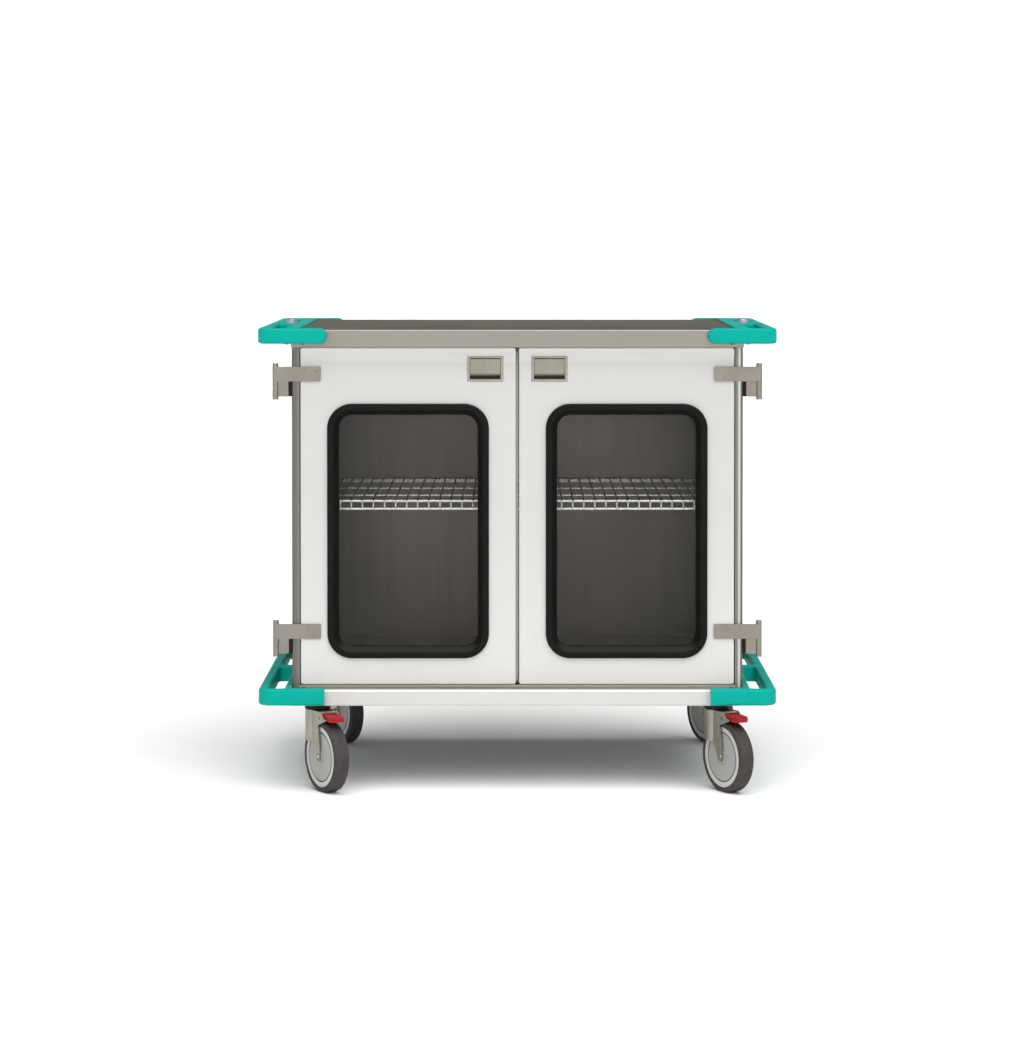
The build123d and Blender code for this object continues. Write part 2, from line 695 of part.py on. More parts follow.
# Doors
for side, side_name in SIDES:
    # Outer shell: a pan with the window, latch and bolt holes
    with BuildPart() as door_shell:
        with BuildSketch(Plane.XZ.offset(-door_front_y)):
            with Locations((side * door_mid_x, door_mid_z)):
                RectangleRounded(door_width, door_height, door_corner)
        extrude(amount=-door_thickness)
        fillet(door_shell.faces().sort_by(Axis.Y)[0].edges(), radius=door_edge)
        with BuildSketch(Plane.XZ.offset(-door_front_y - sheet)):
            with Locations((side * door_mid_x, door_mid_z)):
                RectangleRounded(door_width - 2 * sheet, door_inside_height, door_corner - sheet)
        extrude(amount=-(door_thickness - sheet), mode=Mode.SUBTRACT)
        with BuildSketch(Plane.XZ.offset(-door_front_y)):
            with Locations((side * door_mid_x, window_mid_z)):
                RectangleRounded(hole_width, hole_height, hole_corner)
            with Locations((side * latch_x, recess_mid_z)):
                Rectangle(recess_width + 2 * cup_wall, recess_height + 2 * cup_wall)
        extrude(amount=-sheet, mode=Mode.SUBTRACT)
        with BuildSketch(Plane.XY.offset(door_head)):
            with Locations((side * latch_x, bolt_y)):
                Circle(bolt_radius + running_clearance)
        extrude(amount=-sheet, mode=Mode.SUBTRACT)
        with BuildSketch(Plane.XZ.offset(-door_front_y)):
            for level in hinge_levels:
                strap_mid_z = level + strap_height / 2
                for screw_x, screw_rise in strap_screw_places:
                    with Locations((side * screw_x, strap_mid_z + screw_rise)):
                        Circle(strap_screw_radius)
        extrude(amount=-sheet, mode=Mode.SUBTRACT)
    door_shell.part.label = f"door_{side_name}_shell"
    export_step(door_shell.part, f"parts/door_{side_name}_shell.step")

    # Inner skin: closes the pan from behind
    with BuildPart() as door_skin:
        with BuildSketch(Plane.XZ.offset(-door_back_y + sheet)):
            with Locations((side * door_mid_x, door_mid_z)):
                RectangleRounded(door_width - 2 * sheet, door_inside_height, door_corner - sheet)
            with Locations((side * door_mid_x, window_mid_z)):
                RectangleRounded(hole_width, hole_height, hole_corner, mode=Mode.SUBTRACT)
        extrude(amount=-sheet)
    door_skin.part.label = f"door_{side_name}_inner_skin"
    export_step(door_skin.part, f"parts/door_{side_name}_inner_skin.step")

    # Window gasket: a rubber frame, round outside and bevelled inside, that grips both sheets and the pane
    with BuildPart() as window_gasket:
        with BuildSketch(Plane.XZ.offset(-door_front_y)):
            with Locations((side * door_mid_x, window_mid_z)):
                RectangleRounded(window_width, window_height, window_corner)
        extrude(amount=gasket_proud)
        with BuildSketch(Plane.XZ.offset(-door_front_y)):
            with Locations((side * door_mid_x, window_mid_z)):
                RectangleRounded(hole_width, hole_height, hole_corner)
        extrude(amount=-door_thickness)
        with BuildSketch(Plane.XZ.offset(-door_back_y)):
            with Locations((side * door_mid_x, window_mid_z)):
                RectangleRounded(window_width, window_height, window_corner)
        extrude(amount=-gasket_back)
        with BuildSketch(Plane.XZ.offset(-door_front_y + gasket_proud)):
            with Locations((side * door_mid_x, window_mid_z)):
                RectangleRounded(glass_width, glass_height, glass_corner)
        extrude(amount=-(gasket_proud + door_thickness + gasket_back), mode=Mode.SUBTRACT)
        gasket_face = window_gasket.faces().sort_by(Axis.Y)[0]
        fillet(gasket_face.outer_wire().edges(), radius=gasket_round)
        gasket_face = window_gasket.faces().sort_by(Axis.Y)[0]
        inner_edges = gasket_face.inner_wires()[0].edges()
        chamfer(inner_edges, length=gasket_bevel, length2=gasket_bevel_depth, reference=gasket_face)
        with BuildSketch(Plane.XZ.offset(-pane_front_y)):
            with Locations((side * door_mid_x, window_mid_z)):
                RectangleRounded(pane_width, pane_height, pane_corner)
        extrude(amount=-pane_thickness, mode=Mode.SUBTRACT)
    window_gasket.part.label = f"door_{side_name}_window_gasket"
    export_step(window_gasket.part, f"parts/door_{side_name}_window_gasket.step")

    # Clear pane, held in the gasket's groove
    with BuildPart() as window_pane:
        with BuildSketch(Plane.XZ.offset(-pane_front_y)):
            with Locations((side * door_mid_x, window_mid_z)):
                RectangleRounded(pane_width, pane_height, pane_corner)
        extrude(amount=-pane_thickness)
    window_pane.part.label = f"door_{side_name}_window_pane"
    export_step(window_pane.part, f"parts/door_{side_name}_window_pane.step")

    # Hinge straps: a plate on the door's face that rolls into the upper knuckle
    with BuildPart() as hinge_straps:
        for level in hinge_levels:
            with BuildSketch(Plane.XZ.offset(-door_front_y + strap_thickness)):
                with Locations((side * (hinge_x + strap_end_x) / 2, level + strap_height / 2)):
                    Rectangle(strap_reach, strap_height - 2 * knuckle_gap)
            extrude(amount=-strap_thickness)
            strap_tips = hinge_straps.edges().filter_by(Axis.Y).filter_by(
                lambda edge: abs(abs(edge.center().X) - strap_end_x) < near
                and abs(edge.center().Z - level - strap_height / 2) < strap_height
            )
            fillet(strap_tips, radius=strap_corner)
            with BuildSketch(Plane.XY.offset(level + knuckle_gap)):
                with Locations((side * hinge_x, hinge_y)):
                    Circle(knuckle_radius)
            extrude(amount=knuckle_height - knuckle_gap)
            with BuildSketch(Plane.XY.offset(level + knuckle_gap)):
                with Locations((side * hinge_x, hinge_y)):
                    Circle(hinge_pin_radius + running_clearance)
            extrude(amount=knuckle_height - knuckle_gap, mode=Mode.SUBTRACT)
            with BuildSketch(Plane.XZ.offset(-door_front_y)):
                for screw_x, screw_rise in strap_screw_places:
                    with Locations((side * screw_x, level + strap_height / 2 + screw_rise)):
                        Circle(strap_screw_radius)
            extrude(amount=strap_thickness, mode=Mode.SUBTRACT)
    hinge_straps.part.label = f"door_{side_name}_hinge_straps"
    export_step(hinge_straps.part, f"parts/door_{side_name}_hinge_straps.step")

    # Strap screws: low domed heads on the straps
    with BuildPart() as strap_screws:
        for level in hinge_levels:
            with BuildSketch(Plane.XZ.offset(-door_front_y - strap_screw_grip)):
                for screw_x, screw_rise in strap_screw_places:
                    with Locations((side * screw_x, level + strap_height / 2 + screw_rise)):
                        Circle(strap_screw_radius)
            extrude(amount=strap_screw_grip + strap_thickness + strap_screw_head)
        screw_rims = strap_screws.edges().filter_by(GeomType.CIRCLE).filter_by(
            lambda edge: edge.center().Y < door_front_y - strap_thickness
        )
        fillet(screw_rims, radius=strap_screw_round)
    strap_screws.part.label = f"door_{side_name}_strap_screws"
    export_step(strap_screws.part, f"parts/door_{side_name}_strap_screws.step")

    # Latch cup: a bezel and a recess, with a guide for the bolt behind it
    with BuildPart() as latch_cup:
        with BuildSketch(Plane.XZ.offset(-door_front_y)):
            with Locations((side * latch_x, door_head - latch_drop - latch_height / 2)):
                Rectangle(latch_width, latch_height)
        extrude(amount=bezel_proud)
        fillet(latch_cup.faces().sort_by(Axis.Y)[0].edges(), radius=bezel_round)
        with BuildSketch(Plane.XZ.offset(-door_front_y)):
            with Locations((side * latch_x, recess_mid_z)):
                Rectangle(recess_width + 2 * cup_wall, recess_height + 2 * cup_wall)
        extrude(amount=-(cup_depth + cup_wall))
        with BuildSketch(Plane.XZ.offset(-cup_back_y)):
            with Locations((side * latch_x, pivot_z + arm_thickness + guide_height / 2)):
                Rectangle(guide_width, guide_height)
        extrude(amount=-(door_thickness - sheet - cup_depth))
        with BuildSketch(Plane.XZ.offset(-door_front_y + bezel_proud)):
            with Locations((side * latch_x, recess_mid_z)):
                Rectangle(recess_width, recess_height)
        extrude(amount=-(cup_depth + bezel_proud), mode=Mode.SUBTRACT)
        with BuildSketch(Plane.XZ.offset(-cup_back_y)):
            with Locations((side * latch_x, pivot_z + arm_thickness - (arm_reach + arm_thickness) / 2)):
                Rectangle(arm_width + 2 * paddle_side_gap, arm_reach + arm_thickness)
        extrude(amount=-cup_wall, mode=Mode.SUBTRACT)
        with BuildSketch(Plane.XY.offset(pivot_z)):
            with Locations((side * latch_x, bolt_y)):
                Circle(bolt_radius + running_clearance)
        extrude(amount=door_head - pivot_z, mode=Mode.SUBTRACT)
        with BuildSketch(Plane.YZ.offset(side * latch_x - recess_width / 2 - cup_wall)):
            with Locations((pivot_y, pivot_z)):
                Circle(trunnion_radius + running_clearance)
        extrude(amount=recess_width + 2 * cup_wall, mode=Mode.SUBTRACT)
    latch_cup.part.label = f"door_{side_name}_latch_cup"
    export_step(latch_cup.part, f"parts/door_{side_name}_latch_cup.step")

    # Latch paddle: a pull plate on trunnions, with an arm that draws the bolt down
    paddle_width = recess_width - 2 * paddle_side_gap
    paddle_head_z = recess_head - paddle_head_gap
    with BuildPart() as latch_paddle:
        with BuildSketch(Plane.XZ.offset(-door_front_y - paddle_inset)):
            with Locations((side * latch_x, paddle_head_z - paddle_height / 2)):
                Rectangle(paddle_width, paddle_height)
        extrude(amount=-paddle_thickness)
        with BuildSketch(Plane.YZ.offset(side * latch_x - paddle_width / 2)):
            with Locations((pivot_y, pivot_z)):
                Circle(pivot_hub_radius)
        extrude(amount=paddle_width)
        with BuildSketch(Plane.YZ.offset(side * latch_x - recess_width / 2 - cup_wall)):
            with Locations((pivot_y, pivot_z)):
                Circle(trunnion_radius)
        extrude(amount=recess_width + 2 * cup_wall)
        with BuildSketch(Plane.YZ.offset(side * latch_x - arm_width / 2)):
            with Locations((pivot_y + arm_reach / 2, pivot_z)):
                Rectangle(arm_reach, arm_thickness)
        extrude(amount=arm_width)
        pull_lip = latch_paddle.edges().filter_by(Axis.X).filter_by(
            lambda edge: abs(edge.center().Z - paddle_head_z + paddle_height) < near
        )
        fillet(pull_lip, radius=paddle_lip_round)
    latch_paddle.part.label = f"latch_paddle_{side_name}"
    export_step(latch_paddle.part, f"parts/latch_paddle_{side_name}.step")

    # Latch bolt: a round bolt with a notch for the arm's tip
    with BuildPart() as latch_bolt:
        with BuildSketch(Plane.XY.offset(pivot_z - bolt_notch)):
            with Locations((side * latch_x, bolt_y)):
                Circle(bolt_radius)
        extrude(amount=worktop_foot - bolt_tip_gap - pivot_z + bolt_notch)
        nose_edge = latch_bolt.edges().filter_by(GeomType.CIRCLE).sort_by(Axis.Z)[-1]
        chamfer(nose_edge, length=bolt_nose)
        with BuildSketch(Plane.XZ.offset(-bolt_y + bolt_radius)):
            with Locations((side * latch_x, pivot_z)):
                Rectangle(2 * bolt_radius, bolt_notch)
        extrude(amount=-(bolt_radius + weld_sink), mode=Mode.SUBTRACT)
    latch_bolt.part.label = f"latch_bolt_{side_name}"
    export_step(latch_bolt.part, f"parts/latch_bolt_{side_name}.step")

# Centre seal on the left door's meeting edge
seal_width = door_gap - centre_seal_clearance
with BuildPart() as centre_seal:
    with BuildSketch(Plane.XY.offset(door_foot + centre_seal_end)):
        with Locations((-door_inner_x + seal_width / 2, (door_front_y + door_back_y) / 2)):
            Rectangle(seal_width, door_thickness - 2 * centre_seal_inset)
    extrude(amount=door_height - 2 * centre_seal_end)
    seal_nose = centre_seal.edges().filter_by(Axis.Z).sort_by(Axis.X)[-2:]
    fillet(seal_nose, radius=seal_round)
centre_seal.part.label = "door_left_centre_seal"
export_step(centre_seal.part, "parts/door_left_centre_seal.step")

# Screws and blocks behind the hinge leaves lie round the middle of each leaf
spacer_mid_y = hinge_y + (strap_thickness + leaf_length) / 2
leaf_screw_places = (spacer_mid_y - leaf_screw_pitch / 2, spacer_mid_y + leaf_screw_pitch / 2)

# Hinge leaves: the lower knuckle with a plate that turns back along the cabinet's side
with BuildPart() as hinge_leaves:
    for side, _ in SIDES:
        for level in hinge_levels:
            with BuildSketch(Plane.XY.offset(level - strap_height)):
                with Locations((side * (hinge_x + leaf_face_x) / 2, hinge_y)):
                    Rectangle(hinge_x - leaf_face_x, strap_thickness)
                with Locations((side * (leaf_face_x + strap_thickness / 2), hinge_y + leaf_length / 2)):
                    Rectangle(strap_thickness, leaf_length + strap_thickness)
            extrude(amount=strap_height)
            with BuildSketch(Plane.XY.offset(level - knuckle_height)):
                with Locations((side * hinge_x, hinge_y)):
                    Circle(knuckle_radius)
            extrude(amount=knuckle_height)
            with BuildSketch(Plane.XY.offset(level - knuckle_height)):
                with Locations((side * hinge_x, hinge_y)):
                    Circle(hinge_pin_radius)
            extrude(amount=knuckle_height, mode=Mode.SUBTRACT)
            with BuildSketch(Plane.YZ.offset(side * leaf_face_x)):
                with Locations(*[(screw_y, level - strap_height / 2) for screw_y in leaf_screw_places]):
                    Circle(strap_screw_radius)
            extrude(amount=side * strap_thickness, mode=Mode.SUBTRACT)
hinge_leaves.part.label = "hinge_leaves"
export_step(hinge_leaves.part, "parts/hinge_leaves.step")

# Hinge pins: fixed in the lower knuckles, with a low cap over the upper ones
with BuildPart() as hinge_pins:
    for side, _ in SIDES:
        for level in hinge_levels:
            with BuildSketch(Plane.XY.offset(level - knuckle_height)):
                with Locations((side * hinge_x, hinge_y)):
                    Circle(hinge_pin_radius)
            extrude(amount=2 * knuckle_height + knuckle_gap)
            with BuildSketch(Plane.XY.offset(level + knuckle_height + knuckle_gap)):
                with Locations((side * hinge_x, hinge_y)):
                    Circle(knuckle_radius - running_clearance)
            extrude(amount=hinge_cap_height, taper=head_taper)
            with BuildSketch(Plane.XY.offset(level - knuckle_height)):
                with Locations((side * hinge_x, hinge_y)):
                    Circle(knuckle_radius - running_clearance)
            extrude(amount=-hinge_cap_height, taper=head_taper)
hinge_pins.part.label = "hinge_pins"
export_step(hinge_pins.part, "parts/hinge_pins.step")

# Black blocks that stand the leaves off the cabinet's side
with BuildPart() as hinge_spacers:
    for side, _ in SIDES:
        for level in hinge_levels:
            with BuildSketch(Plane.XY.offset(level - strap_height + knuckle_gap)):
                with Locations((side * (half_cabinet + spacer_width / 2), spacer_mid_y)):
                    Rectangle(spacer_width, leaf_length)
            extrude(amount=strap_height - 2 * knuckle_gap)
            with BuildSketch(Plane.YZ.offset(side * half_cabinet)):
                with Locations(*[(screw_y, level - strap_height / 2) for screw_y in leaf_screw_places]):
                    Circle(strap_screw_radius)
            extrude(amount=side * spacer_width, mode=Mode.SUBTRACT)
hinge_spacers.part.label = "hinge_spacers"
export_step(hinge_spacers.part, "parts/hinge_spacers.step")

# Screws through the leaves and blocks: the heads lie on the leaves
with BuildPart() as hinge_leaf_screws:
    for side, _ in SIDES:
        for level in hinge_levels:
            screw_places = [(screw_y, level - strap_height / 2) for screw_y in leaf_screw_places]
            with BuildSketch(Plane.YZ.offset(side * leaf_outer_x)):
                with Locations(*screw_places):
                    Circle(leaf_screw_radius)
            extrude(amount=side * leaf_screw_head, taper=head_taper)
            with BuildSketch(Plane.YZ.offset(side * half_cabinet)):
                with Locations(*screw_places):
                    Circle(strap_screw_radius)
            extrude(amount=side * (leaf_outer_x - half_cabinet))
hinge_leaf_screws.part.label = "hinge_leaf_screws"
export_step(hinge_leaf_screws.part, "parts/hinge_leaf_screws.step")

# Black swivel heads under the deck
with BuildPart() as caster_heads:
    for _, pin_x, pin_y, _ in CASTERS:
        with BuildSketch(Plane.XY.offset(head_foot)):
            with Locations((pin_x, pin_y)):
                Circle(head_radius)
                Circle(stem_radius, mode=Mode.SUBTRACT)
        extrude(amount=head_thickness)
    head_rims = caster_heads.edges().filter_by(GeomType.CIRCLE).filter_by(
        lambda edge: abs(edge.center().Z - head_foot) < near and edge.radius > stem_radius * 2
    )
    fillet(head_rims, radius=head_round)
caster_heads.part.label = "caster_heads"
export_step(caster_heads.part, "parts/caster_heads.step")

# Stems: a bolt through the head and the beam, with its nut above
stem_head_top = crown_foot - swivel_gap
with BuildPart() as caster_stems:
    for _, pin_x, pin_y, _ in CASTERS:
        with BuildSketch(Plane.XY.offset(stem_head_top - stem_nut_height)):
            with Locations((pin_x, pin_y)):
                RegularPolygon(stem_nut_radius, 6)
        extrude(amount=stem_nut_height)
        with BuildSketch(Plane.XY.offset(stem_head_top)):
            with Locations((pin_x, pin_y)):
                Circle(stem_radius)
        extrude(amount=caster_height + beam_wall + stem_nut_height - stem_head_top)
        with BuildSketch(Plane.XY.offset(caster_height + beam_wall)):
            with Locations((pin_x, pin_y)):
                RegularPolygon(stem_nut_radius, 6)
        extrude(amount=stem_nut_height)
caster_stems.part.label = "caster_stems"
export_step(caster_stems.part, "parts/caster_stems.step")

# Casters
brake_radius = hypot(pedal_pivot_reach - caster_trail, pedal_pivot_height - wheel_radius)
brake_radius -= wheel_radius + pedal_hub_gap
collar_foot = crown_top - collar_drop
leg_root = sqrt((crown_radius - leg_thickness / 2) ** 2 - (leg_inner + leg_thickness / 2) ** 2)
for caster_name, pin_x, pin_y, braked in CASTERS:
    # Upright plane through the kingpin: local x along the trail, local y up
    trail_direction = (trail_x, trail_y, 0)
    mid_plane = Plane(origin=(pin_x, pin_y, 0), x_dir=trail_direction, z_dir=(trail_y, -trail_x, 0))
    floor_plane = Plane(origin=(pin_x, pin_y, 0), x_dir=trail_direction, z_dir=(0, 0, 1))

    # Fork: a crown with a round collar that is arched over the wheel, and two legs that taper to the axle
    with BuildPart() as fork:
        with BuildSketch(floor_plane.offset(collar_foot)):
            Circle(crown_radius)
            Circle(crown_radius - leg_thickness, mode=Mode.SUBTRACT)
            with Locations((crown_radius / 2, 0)):
                Rectangle(crown_radius, 2 * leg_inner, mode=Mode.SUBTRACT)
        extrude(amount=crown_top - collar_foot)
        with BuildSketch(mid_plane.offset(-leg_inner)):
            with Locations((caster_trail, wheel_radius)):
                Circle(wheel_radius + leg_gap)
        extrude(amount=2 * leg_inner, mode=Mode.SUBTRACT)
        with BuildSketch(floor_plane.offset(crown_foot)):
            Circle(crown_radius)
            with Locations((leg_front / 2, 0)):
                Rectangle(leg_front, 2 * leg_outer)
        extrude(amount=crown_thickness)
        for leg_side in (-1, 1):
            leg_offset = leg_inner if leg_side > 0 else -leg_outer
            with BuildSketch(mid_plane.offset(leg_offset)):
                with BuildLine():
                    Polyline(
                        (leg_root, crown_top),
                        (leg_front, crown_top),
                        (brow_start, brow_height),
                        (brow_front, brow_height),
                        (brow_front, brow_height - brow_tip),
                        (leg_waist, leg_waist_height),
                        (caster_trail + leg_eye_radius, wheel_radius),
                        (caster_trail, wheel_radius - leg_eye_radius),
                        (caster_trail - leg_eye_radius, wheel_radius),
                        (leg_root, collar_foot),
                        (leg_root, crown_top),
                    )
                make_face()
                with Locations((caster_trail, wheel_radius)):
                    Circle(leg_eye_radius)
                    Circle(axle_radius, mode=Mode.SUBTRACT)
                if braked:
                    with Locations((pedal_pivot_reach, pedal_pivot_height)):
                        Circle(pedal_pin_radius + running_clearance, mode=Mode.SUBTRACT)
            extrude(amount=leg_thickness)
        with BuildSketch(floor_plane.offset(crown_foot)):
            Circle(stem_radius + running_clearance)
        extrude(amount=crown_thickness, mode=Mode.SUBTRACT)
    fork.part.label = f"caster_{caster_name}_fork"
    export_step(fork.part, f"parts/caster_{caster_name}_fork.step")

    # Axle: a pin with a round head outside each leg
    with BuildPart() as axle:
        with BuildSketch(mid_plane.offset(-leg_outer)):
            with Locations((caster_trail, wheel_radius)):
                Circle(axle_radius)
        extrude(amount=2 * leg_outer)
        with BuildSketch(mid_plane.offset(leg_outer)):
            with Locations((caster_trail, wheel_radius)):
                Circle(axle_head_radius)
        extrude(amount=axle_head_height, taper=head_taper)
        with BuildSketch(mid_plane.offset(-leg_outer)):
            with Locations((caster_trail, wheel_radius)):
                Circle(axle_head_radius)
        extrude(amount=-axle_head_height, taper=head_taper)
    axle.part.label = f"caster_{caster_name}_axle"
    export_step(axle.part, f"parts/caster_{caster_name}_axle.step")

    # Wheel centre: a disc with a hub and a fine ring groove on each face
    hub_half = leg_inner - hub_end_gap
    with BuildPart() as wheel_centre:
        with BuildSketch(mid_plane.offset(-rim_width / 2)):
            with Locations((caster_trail, wheel_radius)):
                Circle(rim_radius)
        extrude(amount=rim_width)
        with BuildSketch(mid_plane.offset(-hub_half)):
            with Locations((caster_trail, wheel_radius)):
                Circle(hub_radius)
        extrude(amount=2 * hub_half)
        for face_offset in (-rim_width / 2, rim_width / 2 - rim_groove_depth):
            with BuildSketch(mid_plane.offset(face_offset)):
                with Locations((caster_trail, wheel_radius)):
                    Circle(rim_groove_radius + rim_groove_width / 2)
                    Circle(rim_groove_radius - rim_groove_width / 2, mode=Mode.SUBTRACT)
            extrude(amount=rim_groove_depth, mode=Mode.SUBTRACT)
        with BuildSketch(mid_plane.offset(-hub_half)):
            with Locations((caster_trail, wheel_radius)):
                Circle(axle_radius + running_clearance)
        extrude(amount=2 * hub_half, mode=Mode.SUBTRACT)
    wheel_centre.part.label = f"wheel_{caster_name}_centre"
    export_step(wheel_centre.part, f"parts/wheel_{caster_name}_centre.step")

    # Tyre: a rounded band on the wheel centre
    with BuildPart() as tyre:
        with BuildSketch(mid_plane.offset(-tyre_width / 2)):
            with Locations((caster_trail, wheel_radius)):
                Circle(wheel_radius)
        extrude(amount=tyre_width)
        fillet(tyre.edges().filter_by(GeomType.CIRCLE), radius=tyre_round)
        with BuildSketch(mid_plane.offset(-tyre_width / 2)):
            with Locations((caster_trail, wheel_radius)):
                Circle(rim_radius)
        extrude(amount=tyre_width, mode=Mode.SUBTRACT)
    tyre.part.label = f"wheel_{caster_name}_tyre"
    export_step(tyre.part, f"parts/wheel_{caster_name}_tyre.step")

    if braked:
        # Brake pedal: a hub on its pin between the legs and a wide foot plate in front of them
        pedal_hub_half = leg_inner - pedal_hub_side_gap
        plate_start = leg_front + pedal_hub_side_gap
        plate_end = pedal_pivot_reach + pedal_reach
        pedal_top = pedal_pivot_height + brake_radius
        pedal_heel_z = pedal_pivot_height + pedal_hub_side_gap
        with BuildPart() as pedal:
            with BuildSketch(mid_plane.offset(-pedal_hub_half)):
                with Locations((pedal_pivot_reach, pedal_pivot_height)):
                    Circle(brake_radius)
                with Locations(((pedal_pivot_reach + plate_start + pedal_corner) / 2, pedal_pivot_height)):
                    Rectangle(plate_start + pedal_corner - pedal_pivot_reach, pedal_thickness - pedal_tip)
            extrude(amount=2 * pedal_hub_half)
            with BuildSketch(mid_plane.offset(-pedal_width / 2)):
                with BuildLine():
                    Polyline(
                        (plate_start, pedal_heel_z),
                        (plate_start + pedal_corner, pedal_top),
                        (plate_end - pedal_corner, pedal_top - pedal_tip / 2),
                        (plate_end, pedal_top - pedal_thickness / 2),
                        (plate_end, pedal_top - pedal_thickness),
                        (plate_start, pedal_top - pedal_thickness),
                        (plate_start, pedal_heel_z),
                    )
                make_face()
            extrude(amount=pedal_width)
            outer_corners = pedal.edges().filter_by(Axis.Z).filter_by(
                lambda edge: edge.length > pedal_tip
                and abs(mid_plane.to_local_coords(edge.center()).X - plate_end) < near
            )
            fillet(outer_corners, radius=pedal_corner)
            with BuildSketch(mid_plane.offset(-leg_outer)):
                with Locations((pedal_pivot_reach, pedal_pivot_height)):
                    Circle(pedal_pin_radius)
            extrude(amount=2 * leg_outer)
        pedal.part.label = f"brake_pedal_{caster_name}"
        export_step(pedal.part, f"parts/brake_pedal_{caster_name}.step")
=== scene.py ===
import json
from math import pi, radians

import bmesh
import bpy
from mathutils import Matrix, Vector

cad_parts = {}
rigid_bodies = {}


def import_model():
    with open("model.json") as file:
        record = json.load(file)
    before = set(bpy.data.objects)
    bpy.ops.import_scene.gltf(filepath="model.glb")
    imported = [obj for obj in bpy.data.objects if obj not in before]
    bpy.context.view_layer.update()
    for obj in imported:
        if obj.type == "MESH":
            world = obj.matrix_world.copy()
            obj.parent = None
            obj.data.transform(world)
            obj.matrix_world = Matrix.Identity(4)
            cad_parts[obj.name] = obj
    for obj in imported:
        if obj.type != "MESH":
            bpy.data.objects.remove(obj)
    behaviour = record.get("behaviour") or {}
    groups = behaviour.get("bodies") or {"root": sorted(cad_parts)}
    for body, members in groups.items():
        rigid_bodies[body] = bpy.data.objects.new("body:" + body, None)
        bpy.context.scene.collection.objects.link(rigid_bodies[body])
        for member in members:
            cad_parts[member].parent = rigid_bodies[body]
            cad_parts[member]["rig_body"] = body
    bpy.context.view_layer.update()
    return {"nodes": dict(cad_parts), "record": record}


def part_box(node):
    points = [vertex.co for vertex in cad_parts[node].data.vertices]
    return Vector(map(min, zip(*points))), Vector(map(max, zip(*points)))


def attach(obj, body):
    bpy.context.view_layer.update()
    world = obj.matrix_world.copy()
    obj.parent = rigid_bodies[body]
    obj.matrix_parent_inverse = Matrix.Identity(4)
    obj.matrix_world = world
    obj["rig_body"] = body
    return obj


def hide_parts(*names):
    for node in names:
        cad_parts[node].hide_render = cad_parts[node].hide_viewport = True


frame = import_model()
nodes = frame["nodes"]
slot_of = {entry["node"]: entry["material_slot"] for entry in frame["record"]["subparts"]}
joints = frame["record"]["behaviour"]["joints"]
spins = {joint["child"]: joint for joint in joints if joint["name"].endswith("_spin")}

# Finishes, with the places in metres where a change of tone starts and where it is full

WHITE_PAINT, SCUFFED_PAINT = (0.615, 0.612, 0.607), (0.42, 0.42, 0.40)
SHEET_TINT, CAST_TINT = (0.62, 0.62, 0.60, 1), (0.7, 0.7, 0.68, 1)
SHEET_ROUGH, POST_ROUGH, LATCH_ROUGH = 0.36, 0.40, 0.40
LATCH_GRAIN = 500.0
PAINTED_SHADE_HEIGHTS = (0.30, 0.60)
SCUFF_HEIGHTS = (0.34, 0.19)
BEND_HIGHLIGHT_BAND = (0.0045, 0.003)
FOOT_SHADE_BAND = (0.0035, 0.001)
HEAD_LIGHT_DEPTH = 0.034
HEAD_HIGHLIGHT_BAND = (-0.001, 0.0005)
POST_LIGHT_AT_DOOR = (0.4710, 0.4655)
POST_AT_EDGE = (0.4735, 0.4785)
HIGHLIGHT_STREAK_INNER = (0.4680, 0.4715)
HIGHLIGHT_STREAK_OUTER = (0.4760, 0.4735)
PADDLE_SIDE_SHADE = (0.0022, 0.0006)
PADDLE_FOOT_SHADE = (0.006, 0.001)
RECESS_SHADE_DEPTHS = (0.0008, 0.0030)
ROD_LEVEL_BLUR = 0.0006
RIM_BLUR = 0.0005
GROOVE_SHADE_WIDTHS = (0.0008, 0.0018)


def start_finish(name, colour, metal, rough):
    """A material with one shader and the piece's own coordinates, in metres."""
    finish = bpy.data.materials.new(name)
    finish.use_nodes = True
    tree = finish.node_tree
    tree.nodes.clear()
    output = tree.nodes.new("ShaderNodeOutputMaterial")
    shader = tree.nodes.new("ShaderNodeBsdfPrincipled")
    place = tree.nodes.new("ShaderNodeTexCoord")
    tree.links.new(shader.outputs["BSDF"], output.inputs["Surface"])
    shader.inputs["Base Color"].default_value = (*colour, 1)
    shader.inputs["Metallic"].default_value = metal
    shader.inputs["Roughness"].default_value = rough
    return finish, tree, shader, place.outputs["Object"]


def stretched(tree, place, scale):
    """Coordinates that run faster along some directions, for brush lines and streaks."""
    mapping = tree.nodes.new("ShaderNodeMapping")
    mapping.inputs["Scale"].default_value = scale
    tree.links.new(place, mapping.inputs["Vector"])
    return mapping.outputs["Vector"]


def speckle(tree, place, scale, detail=3.0, rough=0.55):
    """A noise of this scale, as a value near 0.5."""
    noise = tree.nodes.new("ShaderNodeTexNoise")
    noise.inputs["Scale"].default_value = scale
    noise.inputs["Detail"].default_value = detail
    noise.inputs["Roughness"].default_value = rough
    tree.links.new(place, noise.inputs["Vector"])
    return noise.outputs["Fac"]


def spread(tree, value, low, high, bottom=0.3, top=0.7):
    """Turns a value that runs from bottom to top into one that runs from low to high."""
    span = tree.nodes.new("ShaderNodeMapRange")
    span.inputs["From Min"].default_value = bottom
    span.inputs["From Max"].default_value = top
    span.inputs["To Min"].default_value = low
    span.inputs["To Max"].default_value = high
    tree.links.new(value, span.inputs["Value"])
    return span.outputs["Result"]


def blend_colours(tree, share, first, second):
    """Mixes two colours, or a colour and a socket, by a share."""
    mix = tree.nodes.new("ShaderNodeMix")
    mix.data_type = "RGBA"
    tree.links.new(share, mix.inputs["Factor"])
    for socket, colour in ((mix.inputs[6], first), (mix.inputs[7], second)):
        if isinstance(colour, bpy.types.NodeSocket):
            tree.links.new(colour, socket)
        else:
            socket.default_value = (*colour, 1)
    return mix.outputs[2]


